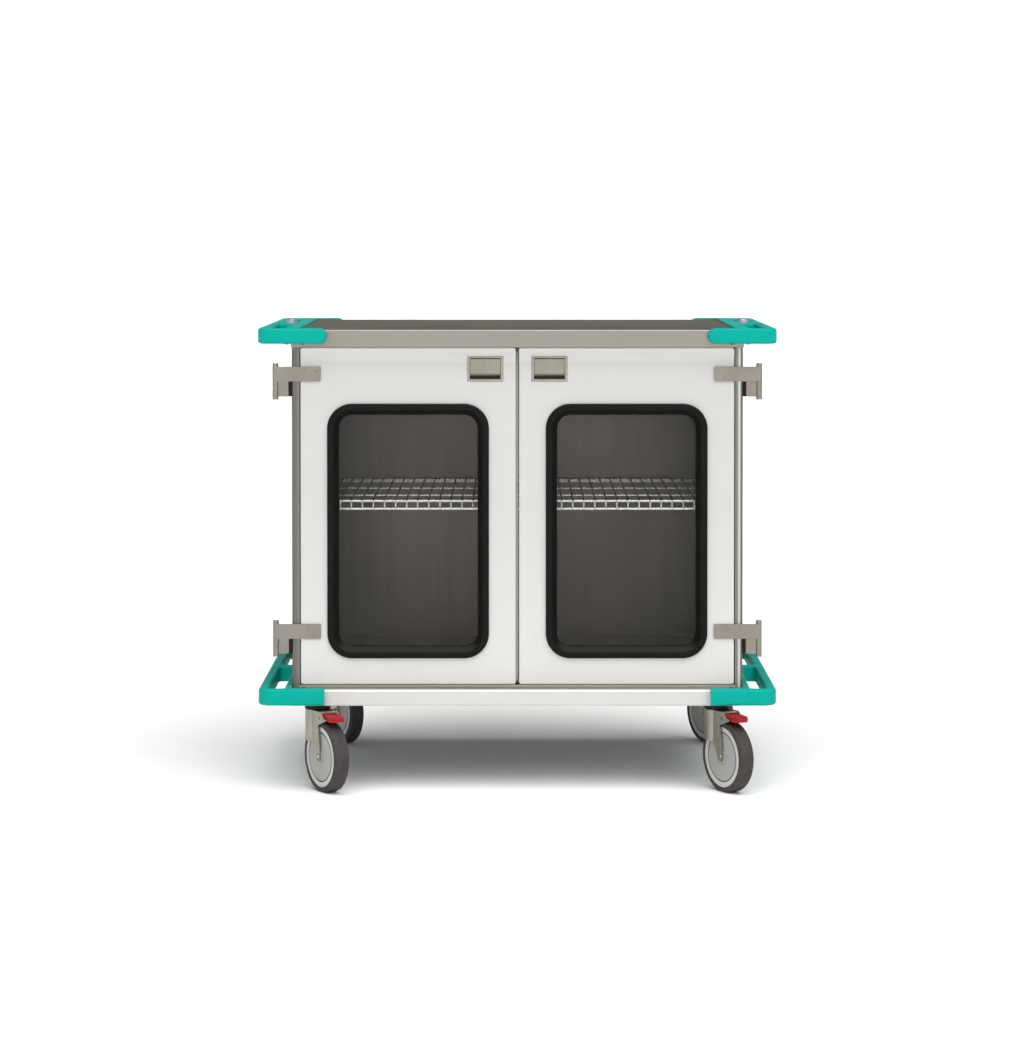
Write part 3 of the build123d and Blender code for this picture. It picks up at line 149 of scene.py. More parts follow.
def join_values(tree, kind, first, second):
    """One sum on two values or sockets, such as their product or the greater of them."""
    joined = tree.nodes.new("ShaderNodeMath")
    joined.operation = kind
    for socket, value in zip(joined.inputs, (first, second)):
        if isinstance(value, bpy.types.NodeSocket):
            tree.links.new(value, socket)
        else:
            socket.default_value = value
    return joined.outputs["Value"]


def relief(tree, shader, heights):
    """Stacks height patterns as (value, depth in metres, strength) on the shader's normal."""
    normal = None
    for height, depth, strength in heights:
        bump = tree.nodes.new("ShaderNodeBump")
        bump.inputs["Distance"].default_value = depth
        bump.inputs["Strength"].default_value = strength
        tree.links.new(height, bump.inputs["Height"])
        if normal:
            tree.links.new(normal, bump.inputs["Normal"])
        normal = bump.outputs["Normal"]
    tree.links.new(normal, shader.inputs["Normal"])


def axis_share(tree, place, axis, low, high, mirrored=False):
    """0 at the low place and 1 at the high one along an axis, alike on both sides where mirrored."""
    split = tree.nodes.new("ShaderNodeSeparateXYZ")
    tree.links.new(place, split.inputs["Vector"])
    value = split.outputs[axis]
    if mirrored:
        value = join_values(tree, "ABSOLUTE", value, 0.0)
    return spread(tree, value, 0.0, 1.0, low, high)


def facing(tree, start, full):
    """How far a face looks up, from 0 at the start to 1 at the full height of its normal. Down is below 0."""
    shape = tree.nodes.new("ShaderNodeNewGeometry")
    return axis_share(tree, shape.outputs["Normal"], "Z", start, full)


def shaded(colour, share):
    return [value * share for value in colour]


def powder_coat(name, colour, deck_heights=None, door_head=None):
    """Baked white powder: an orange peel, painted shade high up, marked low down; painted highlight and shade
    on the deck's bend, foot and underside, and painted light on the doors' head, where given.
    """
    finish, tree, shader, place = start_finish(name, colour, 0.0, 0.38)
    shader.inputs["Specular IOR Level"].default_value = 0.35
    drift = speckle(tree, place, 5.0, 2.0)
    shade = blend_colours(tree, spread(tree, drift, 0.0, 1.0), colour, shaded(colour, 0.985))
    # Painted shade: the white is darker high up and paler towards the foot.
    shade = blend_colours(tree, axis_share(tree, place, "Z", *PAINTED_SHADE_HEIGHTS), shade, shaded(colour, 0.90))
    marks = speckle(tree, stretched(tree, place, (9, 9, 40)), 1.0, 6.0, 0.7)
    marks = spread(tree, marks, 0.0, 0.25, 0.58, 0.82)
    share = join_values(tree, "MULTIPLY", marks, axis_share(tree, place, "Z", *SCUFF_HEIGHTS))
    tone = blend_colours(tree, share, shade, SCUFFED_PAINT)
    if deck_heights:
        foot, bend = deck_heights
        # Painted highlight just under the deck's top bend.
        edge = axis_share(tree, place, "Z", bend - BEND_HIGHLIGHT_BAND[0], bend - BEND_HIGHLIGHT_BAND[1])
        tone = blend_colours(tree, edge, tone, (0.9, 0.9, 0.86))
        # Painted shade along the deck's foot and on the faces that look down.
        under = axis_share(tree, place, "Z", foot + FOOT_SHADE_BAND[0], foot + FOOT_SHADE_BAND[1])
        tone = blend_colours(tree, under, tone, shaded(colour, 0.8))
        tone = blend_colours(tree, facing(tree, -0.6, -0.9), tone, shaded(colour, 0.6))
    if door_head:
        # Painted light along the doors' top, over the shade under the worktop.
        painted_head_light = axis_share(tree, place, "Z", door_head - HEAD_LIGHT_DEPTH, door_head)
        tone = blend_colours(tree, painted_head_light, tone, (0.92, 0.915, 0.90))
    tree.links.new(tone, shader.inputs["Base Color"])
    tree.links.new(spread(tree, drift, 0.34, 0.42), shader.inputs["Roughness"])
    peel = speckle(tree, place, 420.0, 1.0)
    relief(tree, shader, [(drift, 0.002, 0.08), (peel, 0.00012, 0.2)])
    return finish


def brush_marks(tree, shader, place, along, rough):
    """Fine brush lines along one axis with a cloudy polish, and the share of dark in each line."""
    fine, broad = [900.0] * 3, [60.0] * 3
    fine[along], broad[along] = 9.0, 2.0
    lines = speckle(tree, stretched(tree, place, fine), 1.0, 3.0, 0.6)
    bands = speckle(tree, stretched(tree, place, broad), 1.0, 2.0)
    clouds = speckle(tree, place, 3.2, 3.0)
    wear = join_values(
        tree, "ADD", spread(tree, clouds, -0.05, 0.07), spread(tree, lines, rough - 0.05, rough + 0.07)
    )
    tree.links.new(wear, shader.inputs["Roughness"])
    relief(tree, shader, [(lines, 0.00004, 0.35), (clouds, 0.001, 0.05)])
    return join_values(tree, "ADD", spread(tree, lines, 0.22, 0.0), spread(tree, bands, 0.14, 0.0))


def brushed(name, colour, along):
    """Brushed stainless sheet: fine lines one way under a cloudy polish."""
    finish, tree, shader, place = start_finish(name, colour, 1.0, SHEET_ROUGH)
    shader.inputs["Specular Tint"].default_value = SHEET_TINT
    dark = brush_marks(tree, shader, place, along, SHEET_ROUGH)
    tree.links.new(blend_colours(tree, dark, colour, shaded(colour, 0.35)), shader.inputs["Base Color"])
    return finish


def post_sheet(name, steel, lit_beside_door, streak_highlight, door_head):
    """The front frame: brushed, with painted light beside the doors, a painted highlight streak on the right
    post and a painted highlight on its head.
    """
    finish, tree, shader, place = start_finish(name, lit_beside_door, 1.0, POST_ROUGH)
    shader.inputs["Specular Tint"].default_value = SHEET_TINT
    dark = brush_marks(tree, shader, place, 2, POST_ROUGH)
    # Painted light on the posts beside the doors; the outer edge keeps the darker steel.
    light_at_door = axis_share(tree, place, "X", *POST_LIGHT_AT_DOOR, True)
    near_edge = axis_share(tree, place, "X", *POST_AT_EDGE, True)
    tone = blend_colours(tree, near_edge, blend_colours(tree, light_at_door, steel, lit_beside_door), steel)
    # Painted highlight: a bright streak on the right post only.
    past, before = axis_share(tree, place, "X", *HIGHLIGHT_STREAK_INNER), axis_share(tree, place, "X", *HIGHLIGHT_STREAK_OUTER)
    tone = blend_colours(tree, join_values(tree, "MULTIPLY", past, before), tone, streak_highlight)
    # Painted light on the frame's head over the doors, in the gap's shade.
    head_highlight = axis_share(tree, place, "Z", door_head + HEAD_HIGHLIGHT_BAND[0], door_head + HEAD_HIGHLIGHT_BAND[1])
    tone = blend_colours(tree, head_highlight, tone, (0.95, 0.95, 0.93))
    tree.links.new(blend_colours(tree, dark, tone, shaded(steel, 0.5)), shader.inputs["Base Color"])
    return finish


def worktop_sheet(name, lit_top_colour, skirt_colour):
    """The worktop's steel: clouded by wiping on top, with plain brush lines on its skirt; the top is paler,
    painted light.
    """
    finish, tree, shader, place = start_finish(name, skirt_colour, 1.0, 0.42)
    shader.inputs["Specular Tint"].default_value = (0.30, 0.30, 0.28, 1)
    lines = speckle(tree, stretched(tree, place, (9, 900, 900)), 1.0, 3.0, 0.6)
    clouds = speckle(tree, place, 4.0, 4.0)
    wiped = speckle(tree, stretched(tree, place, (14, 55, 55)), 1.0, 5.0, 0.7)
    top = blend_colours(tree, spread(tree, wiped, 0.0, 1.0), lit_top_colour, shaded(lit_top_colour, 0.80))
    skirt = blend_colours(tree, spread(tree, lines, 0.0, 1.0), shaded(skirt_colour, 0.92), skirt_colour)
    # Painted light: faces that look up take the paler top tone.
    tree.links.new(blend_colours(tree, facing(tree, 0.6, 0.9), skirt, top), shader.inputs["Base Color"])
    wear = join_values(tree, "ADD", spread(tree, clouds, -0.05, 0.08), spread(tree, lines, 0.38, 0.48))
    tree.links.new(wear, shader.inputs["Roughness"])
    relief(tree, shader, [(lines, 0.00004, 0.35), (wiped, 0.0002, 0.06)])
    return finish


def cast_skin(name, colour, rough, grain):
    """Starts a cast or plated finish: its grain and roughness, and the tone of its blotchy plating."""
    finish, tree, shader, place = start_finish(name, colour, 1.0, rough)
    shader.inputs["Specular Tint"].default_value = CAST_TINT
    blotch = speckle(tree, place, 24.0, 4.0, 0.6)
    fine = speckle(tree, place, grain, 3.0, 0.6)
    tree.links.new(spread(tree, blotch, rough - 0.06, rough + 0.08), shader.inputs["Roughness"])
    relief(tree, shader, [(fine, 0.00006, 0.3), (blotch, 0.0003, 0.08)])
    tone = blend_colours(tree, spread(tree, blotch, 0.0, 1.0), colour, shaded(colour, 0.88))
    return finish, tree, shader, place, tone


def plated(name, colour, rough, grain, spangle=0.0):
    """Plated or cast steel, with darker flakes of zinc where a spangle is given."""
    finish, tree, shader, place, tone = cast_skin(name, colour, rough, grain)
    if spangle:
        cells = tree.nodes.new("ShaderNodeTexVoronoi")
        cells.inputs["Scale"].default_value = spangle
        tree.links.new(place, cells.inputs["Vector"])
        flake = tree.nodes.new("ShaderNodeRGBToBW")
        tree.links.new(cells.outputs["Color"], flake.inputs["Color"])
        share = spread(tree, flake.outputs["Val"], 0.0, 0.5, 0.0, 1.0)
        tone = blend_colours(tree, share, tone, shaded(colour, 0.75))
    tree.links.new(tone, shader.inputs["Base Color"])
    return finish


def latch_paddle(name, colour, low, high):
    """The latch paddle's casting: painted shade at its foot and along both side gaps."""
    finish, tree, shader, place, tone = cast_skin(name, colour, LATCH_ROUGH, LATCH_GRAIN)
    start, full = PADDLE_SIDE_SHADE
    # Painted shade along both side gaps and at the foot.
    inner = axis_share(tree, place, "X", low.x + start, low.x + full, True)
    outer = axis_share(tree, place, "X", high.x - start, high.x - full, True)
    tone = blend_colours(tree, join_values(tree, "MAXIMUM", inner, outer), tone, shaded(colour, 0.4))
    foot = axis_share(tree, place, "Z", low.z + PADDLE_FOOT_SHADE[0], low.z + PADDLE_FOOT_SHADE[1])
    tree.links.new(blend_colours(tree, foot, tone, shaded(colour, 0.4)), shader.inputs["Base Color"])
    return finish


def latch_cup(name, colour, front):
    """The latch cup's casting: painted shade inside the recess behind its frame."""
    finish, tree, shader, place, tone = cast_skin(name, colour, LATCH_ROUGH, LATCH_GRAIN)
    # Painted shade inside the recess.
    deep = axis_share(tree, place, "Y", front + RECESS_SHADE_DEPTHS[0], front + RECESS_SHADE_DEPTHS[1])
    tree.links.new(blend_colours(tree, deep, tone, shaded(colour, 0.13)), shader.inputs["Base Color"])
    return finish


def shelf_wire(name, bright, rod_shade, level):
    """Bright plated wire: the rods above this level carry painted shade, near black with scratches."""
    finish, tree, shader, place = start_finish(name, bright, 1.0, 0.25)
    shader.inputs["Specular Tint"].default_value = CAST_TINT
    scratch = speckle(tree, stretched(tree, place, (300, 60, 300)), 1.0, 4.0, 0.6)
    # Painted shade: the rods above the level are near black, with scratches on them.
    worn = blend_colours(tree, spread(tree, scratch, 0.0, 1.0), rod_shade, shaded(rod_shade, 0.7))
    share = axis_share(tree, place, "Z", level - ROD_LEVEL_BLUR, level + ROD_LEVEL_BLUR)
    tree.links.new(blend_colours(tree, share, bright, worn), shader.inputs["Base Color"])
    tree.links.new(spread(tree, scratch, 0.18, 0.34), shader.inputs["Roughness"])
    relief(tree, shader, [(scratch, 0.00005, 0.25)])
    return finish


def moulded(name, colour, rough, grain, worn, gloss):
    """Moulded plastic: spark-eroded grain, faint flow clouds and paler rubbed patches."""
    finish, tree, shader, place = start_finish(name, colour, 0.0, rough)
    shader.inputs["Specular IOR Level"].default_value = gloss
    flow = speckle(tree, place, 7.0, 3.0)
    rubbed = speckle(tree, stretched(tree, place, (16, 16, 50)), 1.0, 6.0, 0.7)
    skin = speckle(tree, place, grain, 2.0)
    tone = blend_colours(tree, spread(tree, flow, 0.0, 1.0), colour, shaded(colour, 0.95))
    tone = blend_colours(tree, spread(tree, rubbed, 0.0, 0.3, 0.6, 0.8), tone, worn)
    tree.links.new(tone, shader.inputs["Base Color"])
    tree.links.new(spread(tree, rubbed, rough + 0.04, rough - 0.07), shader.inputs["Roughness"])
    relief(tree, shader, [(skin, 0.00012, 0.3), (flow, 0.001, 0.05)])
    return finish


def wheel_disc(name, disc, rim, groove_radius):
    """The wheel centre's plastic: painted shade in the groove and a paler ring outside it, measured from the
    axle.
    """
    finish, tree, shader, place = start_finish(name, disc, 0.0, 0.42)
    shader.inputs["Specular IOR Level"].default_value = 0.3
    reach = tree.nodes.new("ShaderNodeAttribute")
    reach.attribute_name = "from_axle"
    rim_start, rim_full = groove_radius - RIM_BLUR, groove_radius + RIM_BLUR
    outside = spread(tree, reach.outputs["Fac"], 0.0, 1.0, rim_start, rim_full)
    flow = speckle(tree, place, 18.0, 3.0)
    skin = speckle(tree, place, 500.0, 2.0)
    tone = blend_colours(tree, outside, disc, rim)
    # Painted shade in the groove.
    past_groove = join_values(tree, "SUBTRACT", reach.outputs["Fac"], groove_radius)
    off_groove = join_values(tree, "ABSOLUTE", past_groove, 0.0)
    groove_shade = spread(tree, off_groove, 1.0, 0.0, *GROOVE_SHADE_WIDTHS)
    tone = blend_colours(tree, groove_shade, tone, shaded(disc, 0.2))
    dirt = blend_colours(tree, spread(tree, flow, 0.0, 0.3, 0.5, 0.8), tone, shaded(disc, 0.6))
    tree.links.new(dirt, shader.inputs["Base Color"])
    tree.links.new(spread(tree, flow, 0.36, 0.48), shader.inputs["Roughness"])
    relief(tree, shader, [(skin, 0.00012, 0.3), (flow, 0.0008, 0.05)])
    return finish


def rubber(name, colour, rough, dust, gloss, ledge_light=None):
    """Rubber: matt with a fine pore and dust, and painted light on a bevel that looks up, where given."""
    finish, tree, shader, place = start_finish(name, colour, 0.0, rough)
    shader.inputs["Specular IOR Level"].default_value = gloss
    pores = speckle(tree, place, 900.0, 2.0)
    bloom = speckle(tree, place, 30.0, 5.0, 0.65)
    tone = blend_colours(tree, spread(tree, bloom, 0.0, 0.5, 0.45, 0.75), colour, dust)
    if ledge_light:
        # Painted light on bevels that look up.
        tone = blend_colours(tree, facing(tree, 0.4, 0.7), tone, ledge_light)
    tree.links.new(tone, shader.inputs["Base Color"])
    tree.links.new(spread(tree, bloom, rough - 0.06, rough + 0.1), shader.inputs["Roughness"])
    relief(tree, shader, [(pores, 0.0001, 0.35), (bloom, 0.0003, 0.08)])
    return finish


def clear_sheet(name, tint, see):
    """The window pane: clear, faintly tinted, with the soft waver and dust of a wiped pane."""
    finish, tree, shader, place = start_finish(name, tint, 0.0, 0.04)
    shader.inputs["IOR"].default_value = 1.49
    wipes = speckle(tree, stretched(tree, place, (12, 12, 4)), 1.0, 4.0, 0.6)
    waver = speckle(tree, place, 6.0, 1.0)
    dusty = blend_colours(tree, spread(tree, wipes, 0.0, 1.0), tint, shaded(tint, 1.3))
    tree.links.new(dusty, shader.inputs["Base Color"])
    tree.links.new(spread(tree, wipes, 0.03, 0.09), shader.inputs["Roughness"])
    shader.inputs["Alpha"].default_value = see
    relief(tree, shader, [(waver, 0.0006, 0.03)])
    return finish


shelf_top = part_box("wire_shelf")[1].z
finishes = {
    "white_enamel": powder_coat("white_powder_coat", WHITE_PAINT),
    "stainless_steel": brushed("brushed_sheet", (0.36, 0.35, 0.31), 2),
    "worktop_steel": worktop_sheet("worktop_sheet", (0.38, 0.362, 0.315), (0.33, 0.314, 0.28)),
    "galvanised_steel": plated("galvanised_section", (0.40, 0.41, 0.42), 0.42, 300.0, 90.0),
    "hinge_steel": plated("hinge_casting", (0.29, 0.27, 0.235), 0.38, 380.0),
    "latch_steel": plated("latch_casting", (0.40, 0.388, 0.335), LATCH_ROUGH, LATCH_GRAIN),
    "zinc_steel": plated("zinc_plated_fork", (0.40, 0.38, 0.325), 0.36, 240.0, 160.0),
    "bright_wire": shelf_wire("shelf_wire", (0.95, 0.95, 0.93), (0.05, 0.048, 0.045), shelf_top - 0.0036),
    "socket_alloy": plated("socket_alloy", (0.46, 0.45, 0.50), 0.32, 300.0),
    "stainless_screw": plated("screw_steel", (0.31, 0.29, 0.25), 0.36, 500.0),
    "black_steel": plated("black_screw", (0.035, 0.035, 0.036), 0.42, 500.0),
    "teal_plastic": moulded("teal_moulding", (0.002, 0.36, 0.30), 0.46, 620.0, (0.01, 0.40, 0.34), 0.05),
    "black_plastic": moulded("black_moulding", (0.009, 0.007, 0.005), 0.48, 620.0, (0.02, 0.018, 0.016), 0.2),
    "black_rubber": rubber(
        "gasket_rubber", (0.007, 0.0066, 0.006), 0.46, (0.011, 0.0105, 0.01), 0.08, (0.022, 0.0215, 0.020)
    ),
    "grey_rubber": rubber("seal_rubber", (0.26, 0.26, 0.25), 0.55, (0.22, 0.22, 0.21), 0.2),
    "clear_pane": clear_sheet("window_pane", (0.030, 0.030, 0.028), 0.16),
    "grey_wheel": wheel_disc("wheel_disc", (0.34, 0.34, 0.33), (0.52, 0.52, 0.51), 0.052),
    "dark_tyre": rubber("tyre_rubber", (0.050, 0.045, 0.045), 0.60, (0.085, 0.08, 0.075), 0.15),
    "red_plastic": moulded("red_pedal", (0.29, 0.006, 0.010), 0.40, 500.0, (0.42, 0.03, 0.035), 0.2),
}
deck_foot, deck_top = (corner.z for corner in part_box("base_deck"))
door_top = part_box("door_left_shell")[1].z
door_coat = powder_coat("door_powder_coat", WHITE_PAINT, door_head=door_top)
paddle_steel = latch_paddle("latch_paddle_casting", (0.335, 0.325, 0.275), *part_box("latch_paddle_right"))
cup_steel = latch_cup("latch_cup_casting", (0.37, 0.358, 0.31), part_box("door_left_latch_cup")[0].y)
own_finish = {
    "base_deck": powder_coat("deck_powder_coat", (0.565, 0.563, 0.555), (deck_foot, deck_top)),
    "door_left_shell": door_coat,
    "door_right_shell": door_coat,
    "door_left_latch_cup": cup_steel,
    "door_right_latch_cup": cup_steel,
    "latch_paddle_left": paddle_steel,
    "latch_paddle_right": paddle_steel,
    # Painted shade and light: the wrap's steel is darker for the dim inside; the floor sheet, threshold and
    # inner floor are paler to lift their shade.
    "cabinet_wrap": brushed("brushed_wrap", (0.225, 0.208, 0.191), 2),
    "cabinet_floor": brushed("brushed_floor_sheet", (0.52, 0.51, 0.45), 0),
    "door_threshold": brushed("brushed_threshold", (0.44, 0.434, 0.385), 0),
    "inner_floor": brushed("brushed_inner_floor", (0.78, 0.75, 0.68), 0),
    "ceiling_panel": brushed("brushed_ceiling", (0.36, 0.35, 0.31), 0),
    "front_frame": post_sheet(
        "post_sheet", (0.18, 0.177, 0.16), (0.25, 0.245, 0.225), (0.68, 0.68, 0.66), door_top
    ),
    "hinge_pins": plated("hinge_pin_caps", (0.54, 0.53, 0.50), 0.30, 380.0),
}
for name, piece in nodes.items():
    piece.data.materials.clear()
    piece.data.materials.append(own_finish.get(name, finishes[slot_of[name]]))

# Smooth copies of the solids. Edges sharper than these angles, in degrees, stay crisp.

SOLID_CREASE, WIRE_CREASE, SCREW_CREASE = 32, 60, 40
SAME_POINT = 0.00001


def soften(mesh, angle):
    """Smooth shading, with edges sharper than the angle kept crisp."""
    shape = bmesh.new()
    shape.from_mesh(mesh)
    for face in shape.faces:
        face.smooth = True
    for edge in shape.edges:
        edge.smooth = len(edge.link_faces) == 2 and edge.calc_face_angle(pi) < radians(angle)
    shape.to_mesh(mesh)
    shape.free()


def measure_from_axle(mesh, spin):
    """Keeps each point's distance from the wheel's axle, for the ring on the disc."""
    middle, axle = Vector(spin["pos_m"]), Vector(spin["axis"])
    reach = mesh.attributes.new("from_axle", "FLOAT", "POINT")
    offsets = [vertex.co - middle for vertex in mesh.vertices]
    reach.data.foreach_set("value", [(offset - axle * offset.dot(axle)).length for offset in offsets])


def dress(node):
    """Stands a copy of a solid in its place, with its triangles joined so that its rounds shade smoothly."""
    source = nodes[node]
    mesh = source.data.copy()
    shape = bmesh.new()
    shape.from_mesh(mesh)
    bmesh.ops.remove_doubles(shape, verts=shape.verts, dist=SAME_POINT)
    shape.to_mesh(mesh)
    shape.free()
    if "custom_normal" in mesh.attributes:
        mesh.attributes.remove(mesh.attributes["custom_normal"])
    soften(mesh, SOLID_CREASE)
    if slot_of[node] == "grey_wheel":
        measure_from_axle(mesh, spins[source["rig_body"]])
    piece = bpy.data.objects.new(node + "_finished", mesh)
    bpy.context.scene.collection.objects.link(piece)
    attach(piece, source["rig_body"])
    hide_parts(node)


screw_nodes = ["bumper_screws", "hinge_leaf_screws", "door_left_strap_screws", "door_right_strap_screws"]
for name in list(nodes):
    if name != "wire_shelf" and name not in screw_nodes:
        dress(name)

# Tools for pieces that repeat


def start_tree(name, sizes):
    """A geometry tree with named sizes: (label, kind, first value)."""
    tree = bpy.data.node_groups.new(name, "GeometryNodeTree")
    tree.interface.new_socket("Start", in_out="INPUT", socket_type="NodeSocketGeometry")
    for label, kind, value in sizes:
        socket = tree.interface.new_socket(label, in_out="INPUT", socket_type="NodeSocket" + kind)
        if value is not None:
            socket.default_value = value
    tree.interface.new_socket("Piece", in_out="OUTPUT", socket_type="NodeSocketGeometry")
    entry = tree.nodes.new("NodeGroupInput").outputs
    leave = tree.nodes.new("NodeGroupOutput").inputs["Piece"]
    return tree, entry, leave


def add_node(tree, kind, settings=None, **inputs):
    """One node with its settings, and its inputs as values or as links. A label's spaces are underscores."""
    node = tree.nodes.new(kind)
    for key, value in (settings or {}).items():
        setattr(node, key, value)
    for label, value in inputs.items():
        socket = node.inputs[label.replace("_", " ")]
        if isinstance(value, bpy.types.NodeSocket):
            tree.links.new(value, socket)
        else:
            socket.default_value = value
    return node


def swept(tree, path, radius, sides):
    """A round bar of this radius along a curve, with closed ends."""
    ring = add_node(tree, "GeometryNodeCurvePrimitiveCircle", Resolution=sides, Radius=radius)
    bar = add_node(tree, "GeometryNodeCurveToMesh", Curve=path, Profile_Curve=ring.outputs["Curve"])
    bar.inputs["Fill Caps"].default_value = True
    return bar.outputs["Mesh"]


def row_of(tree, piece, count, start, step):
    """The piece again and again from a start, one step apart."""
    seats = add_node(tree, "GeometryNodeMeshLine", Count=count, Start_Location=start, Offset=step)
    row = add_node(tree, "GeometryNodeInstanceOnPoints", Points=seats.outputs["Mesh"], Instance=piece)
    return row.outputs["Instances"]


def point(tree, **places):
    """A point or a step from values along X, Y and Z."""
    return add_node(tree, "ShaderNodeCombineXYZ", **places).outputs[0]


def close_tree(tree, entry, leave, parts):
    """Joins the parts, realises what repeats and gives them the finish."""
    joined = tree.nodes.new("GeometryNodeJoinGeometry")
    for part in parts:
        tree.links.new(part, joined.inputs["Geometry"])
    real = add_node(tree, "GeometryNodeRealizeInstances", Geometry=joined.outputs["Geometry"])
    whole = real.outputs["Geometry"]
    done = add_node(tree, "GeometryNodeSetMaterial", Geometry=whole, Material=entry["Finish"])
    tree.links.new(done.outputs["Geometry"], leave)


def grow(name, tree, start, sizes, body, replaced, angle):
    """Runs a tree on a start mesh with these sizes, and keeps the result as a plain mesh."""
    piece = bpy.data.objects.new(name, start)
    bpy.context.scene.collection.objects.link(piece)
    modifier = piece.modifiers.new("grow", "NODES")
    modifier.node_group = tree
    for item in tree.interface.items_tree:
        if item.item_type == "SOCKET" and item.in_out == "INPUT" and item.name in sizes:
            modifier[item.identifier] = sizes[item.name]
    ready = bpy.context.evaluated_depsgraph_get()
    grown = piece.evaluated_get(ready)
    mesh = bpy.data.meshes.new_from_object(grown, preserve_all_data_layers=True, depsgraph=ready)
    piece.modifiers.clear()
    piece.data = mesh
    soften(mesh, angle)
    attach(piece, body)
    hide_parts(replaced)


def start_mesh(name, points, edges, facing=None):
    """A start mesh of points, joined by edges, with a direction to face where screws need one."""
    mesh = bpy.data.meshes.new(name)
    mesh.from_pydata(points, edges, [])
    if facing:
        attribute = mesh.attributes.new("facing", "FLOAT_VECTOR", "POINT")
        attribute.data.foreach_set("vector", [value for direction in facing for value in direction])
    return mesh


# Wire shelf: long rods side by side, two rails at the front, one at the back and cross rods between

ROD_COUNT, ROD_PITCH, ROD_RADIUS = 39, 0.0238, 0.002
RAIL_RADIUS, RAIL_DROP = 0.003, 0.017
CROSS_COUNT, CROSS_LEAD, CROSS_PITCH = 3, 0.136, 0.187
WELD_SINK = 0.0004


def wire_shelf_tree():
    tree, entry, leave = start_tree("wire_shelf_wires", (
        ("Rod count", "Int", ROD_COUNT), ("Rod pitch", "Float", ROD_PITCH),
        ("Rod radius", "Float", ROD_RADIUS), ("Rail radius", "Float", RAIL_RADIUS),
        ("Half width", "Float", 0.47), ("Front rail", "Float", 0.0), ("Back rail", "Float", 0.5),
        ("Rail height", "Float", 0.6), ("Truss drop", "Float", RAIL_DROP),
        ("Cross count", "Int", CROSS_COUNT), ("Cross lead", "Float", CROSS_LEAD),
        ("Cross pitch", "Float", CROSS_PITCH), ("Cross height", "Float", 0.6), ("Finish", "Material", None),
    ))
    path = add_node(tree, "GeometryNodeMeshToCurve", Mesh=entry["Start"])
    bent = add_node(tree, "GeometryNodeFilletCurve", {"mode": "POLY"}, Curve=path.outputs["Curve"], Count=4,
                    Radius=entry["Rail radius"])
    rod = swept(tree, bent.outputs["Curve"], entry["Rod radius"], 10)
    gaps = join_values(tree, "SUBTRACT", entry["Rod count"], 1.0)
    span = join_values(tree, "MULTIPLY", gaps, entry["Rod pitch"])
    first = point(tree, X=join_values(tree, "MULTIPLY", span, -0.5))
    rods = row_of(tree, rod, entry["Rod count"], first, point(tree, X=entry["Rod pitch"]))
    left_end = point(tree, X=join_values(tree, "MULTIPLY", entry["Half width"], -1.0))
    right_end = point(tree, X=entry["Half width"])
    run = add_node(tree, "GeometryNodeCurvePrimitiveLine", Start=left_end, End=right_end)
    rail = swept(tree, run.outputs["Curve"], entry["Rail radius"], 14)
    down = point(tree, Z=join_values(tree, "MULTIPLY", entry["Truss drop"], -1.0))
    front_place = point(tree, Y=entry["Front rail"], Z=entry["Rail height"])
    back_place = point(tree, Y=entry["Back rail"], Z=entry["Rail height"])
    cross = swept(tree, run.outputs["Curve"], entry["Rod radius"], 10)
    cross_start = join_values(tree, "ADD", entry["Front rail"], entry["Cross lead"])
    cross_place = point(tree, Y=cross_start, Z=entry["Cross height"])
    close_tree(tree, entry, leave, [
        rods,
        row_of(tree, rail, 2, front_place, down),
        row_of(tree, rail, 1, back_place, down),
        row_of(tree, cross, entry["Cross count"], cross_place, point(tree, Y=entry["Cross pitch"])),
    ])
    return tree


def make_wire_shelf():
    low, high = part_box("wire_shelf")
    front, top = low.y + ROD_RADIUS, high.z - ROD_RADIUS
    rail_height = top - ROD_RADIUS - RAIL_RADIUS + WELD_SINK
    bends = [(0, front, rail_height - RAIL_DROP), (0, front, top), (0, high.y, top)]
    path = start_mesh("shelf_rod_path", bends, [(0, 1), (1, 2)])
    sizes = {
        "Rod count": ROD_COUNT, "Rod pitch": ROD_PITCH, "Rod radius": ROD_RADIUS,
        "Rail radius": RAIL_RADIUS, "Half width": high.x,
        "Front rail": front + ROD_RADIUS + RAIL_RADIUS - WELD_SINK, "Back rail": high.y - RAIL_RADIUS,
        "Rail height": rail_height, "Truss drop": RAIL_DROP,
        "Cross count": CROSS_COUNT, "Cross lead": CROSS_LEAD, "Cross pitch": CROSS_PITCH,
        "Cross height": top - 2 * ROD_RADIUS + WELD_SINK, "Finish": finishes["bright_wire"],
    }
    grow("wire_shelf_wires", wire_shelf_tree(), path, sizes, "cart", "wire_shelf", WIRE_CREASE)


make_wire_shelf()

# Screws, as radius and height of the head in metres

STRAP_SCREW, LEAF_SCREW, BUMPER_SCREW = (0.0032, 0.001), (0.005, 0.002), (0.0045, 0.0015)
SOCKET_WIDTH_SHARE, SOCKET_DEPTH_SHARE = 0.48, 0.75
UNDER_HANDLE_SEAT = 0.003


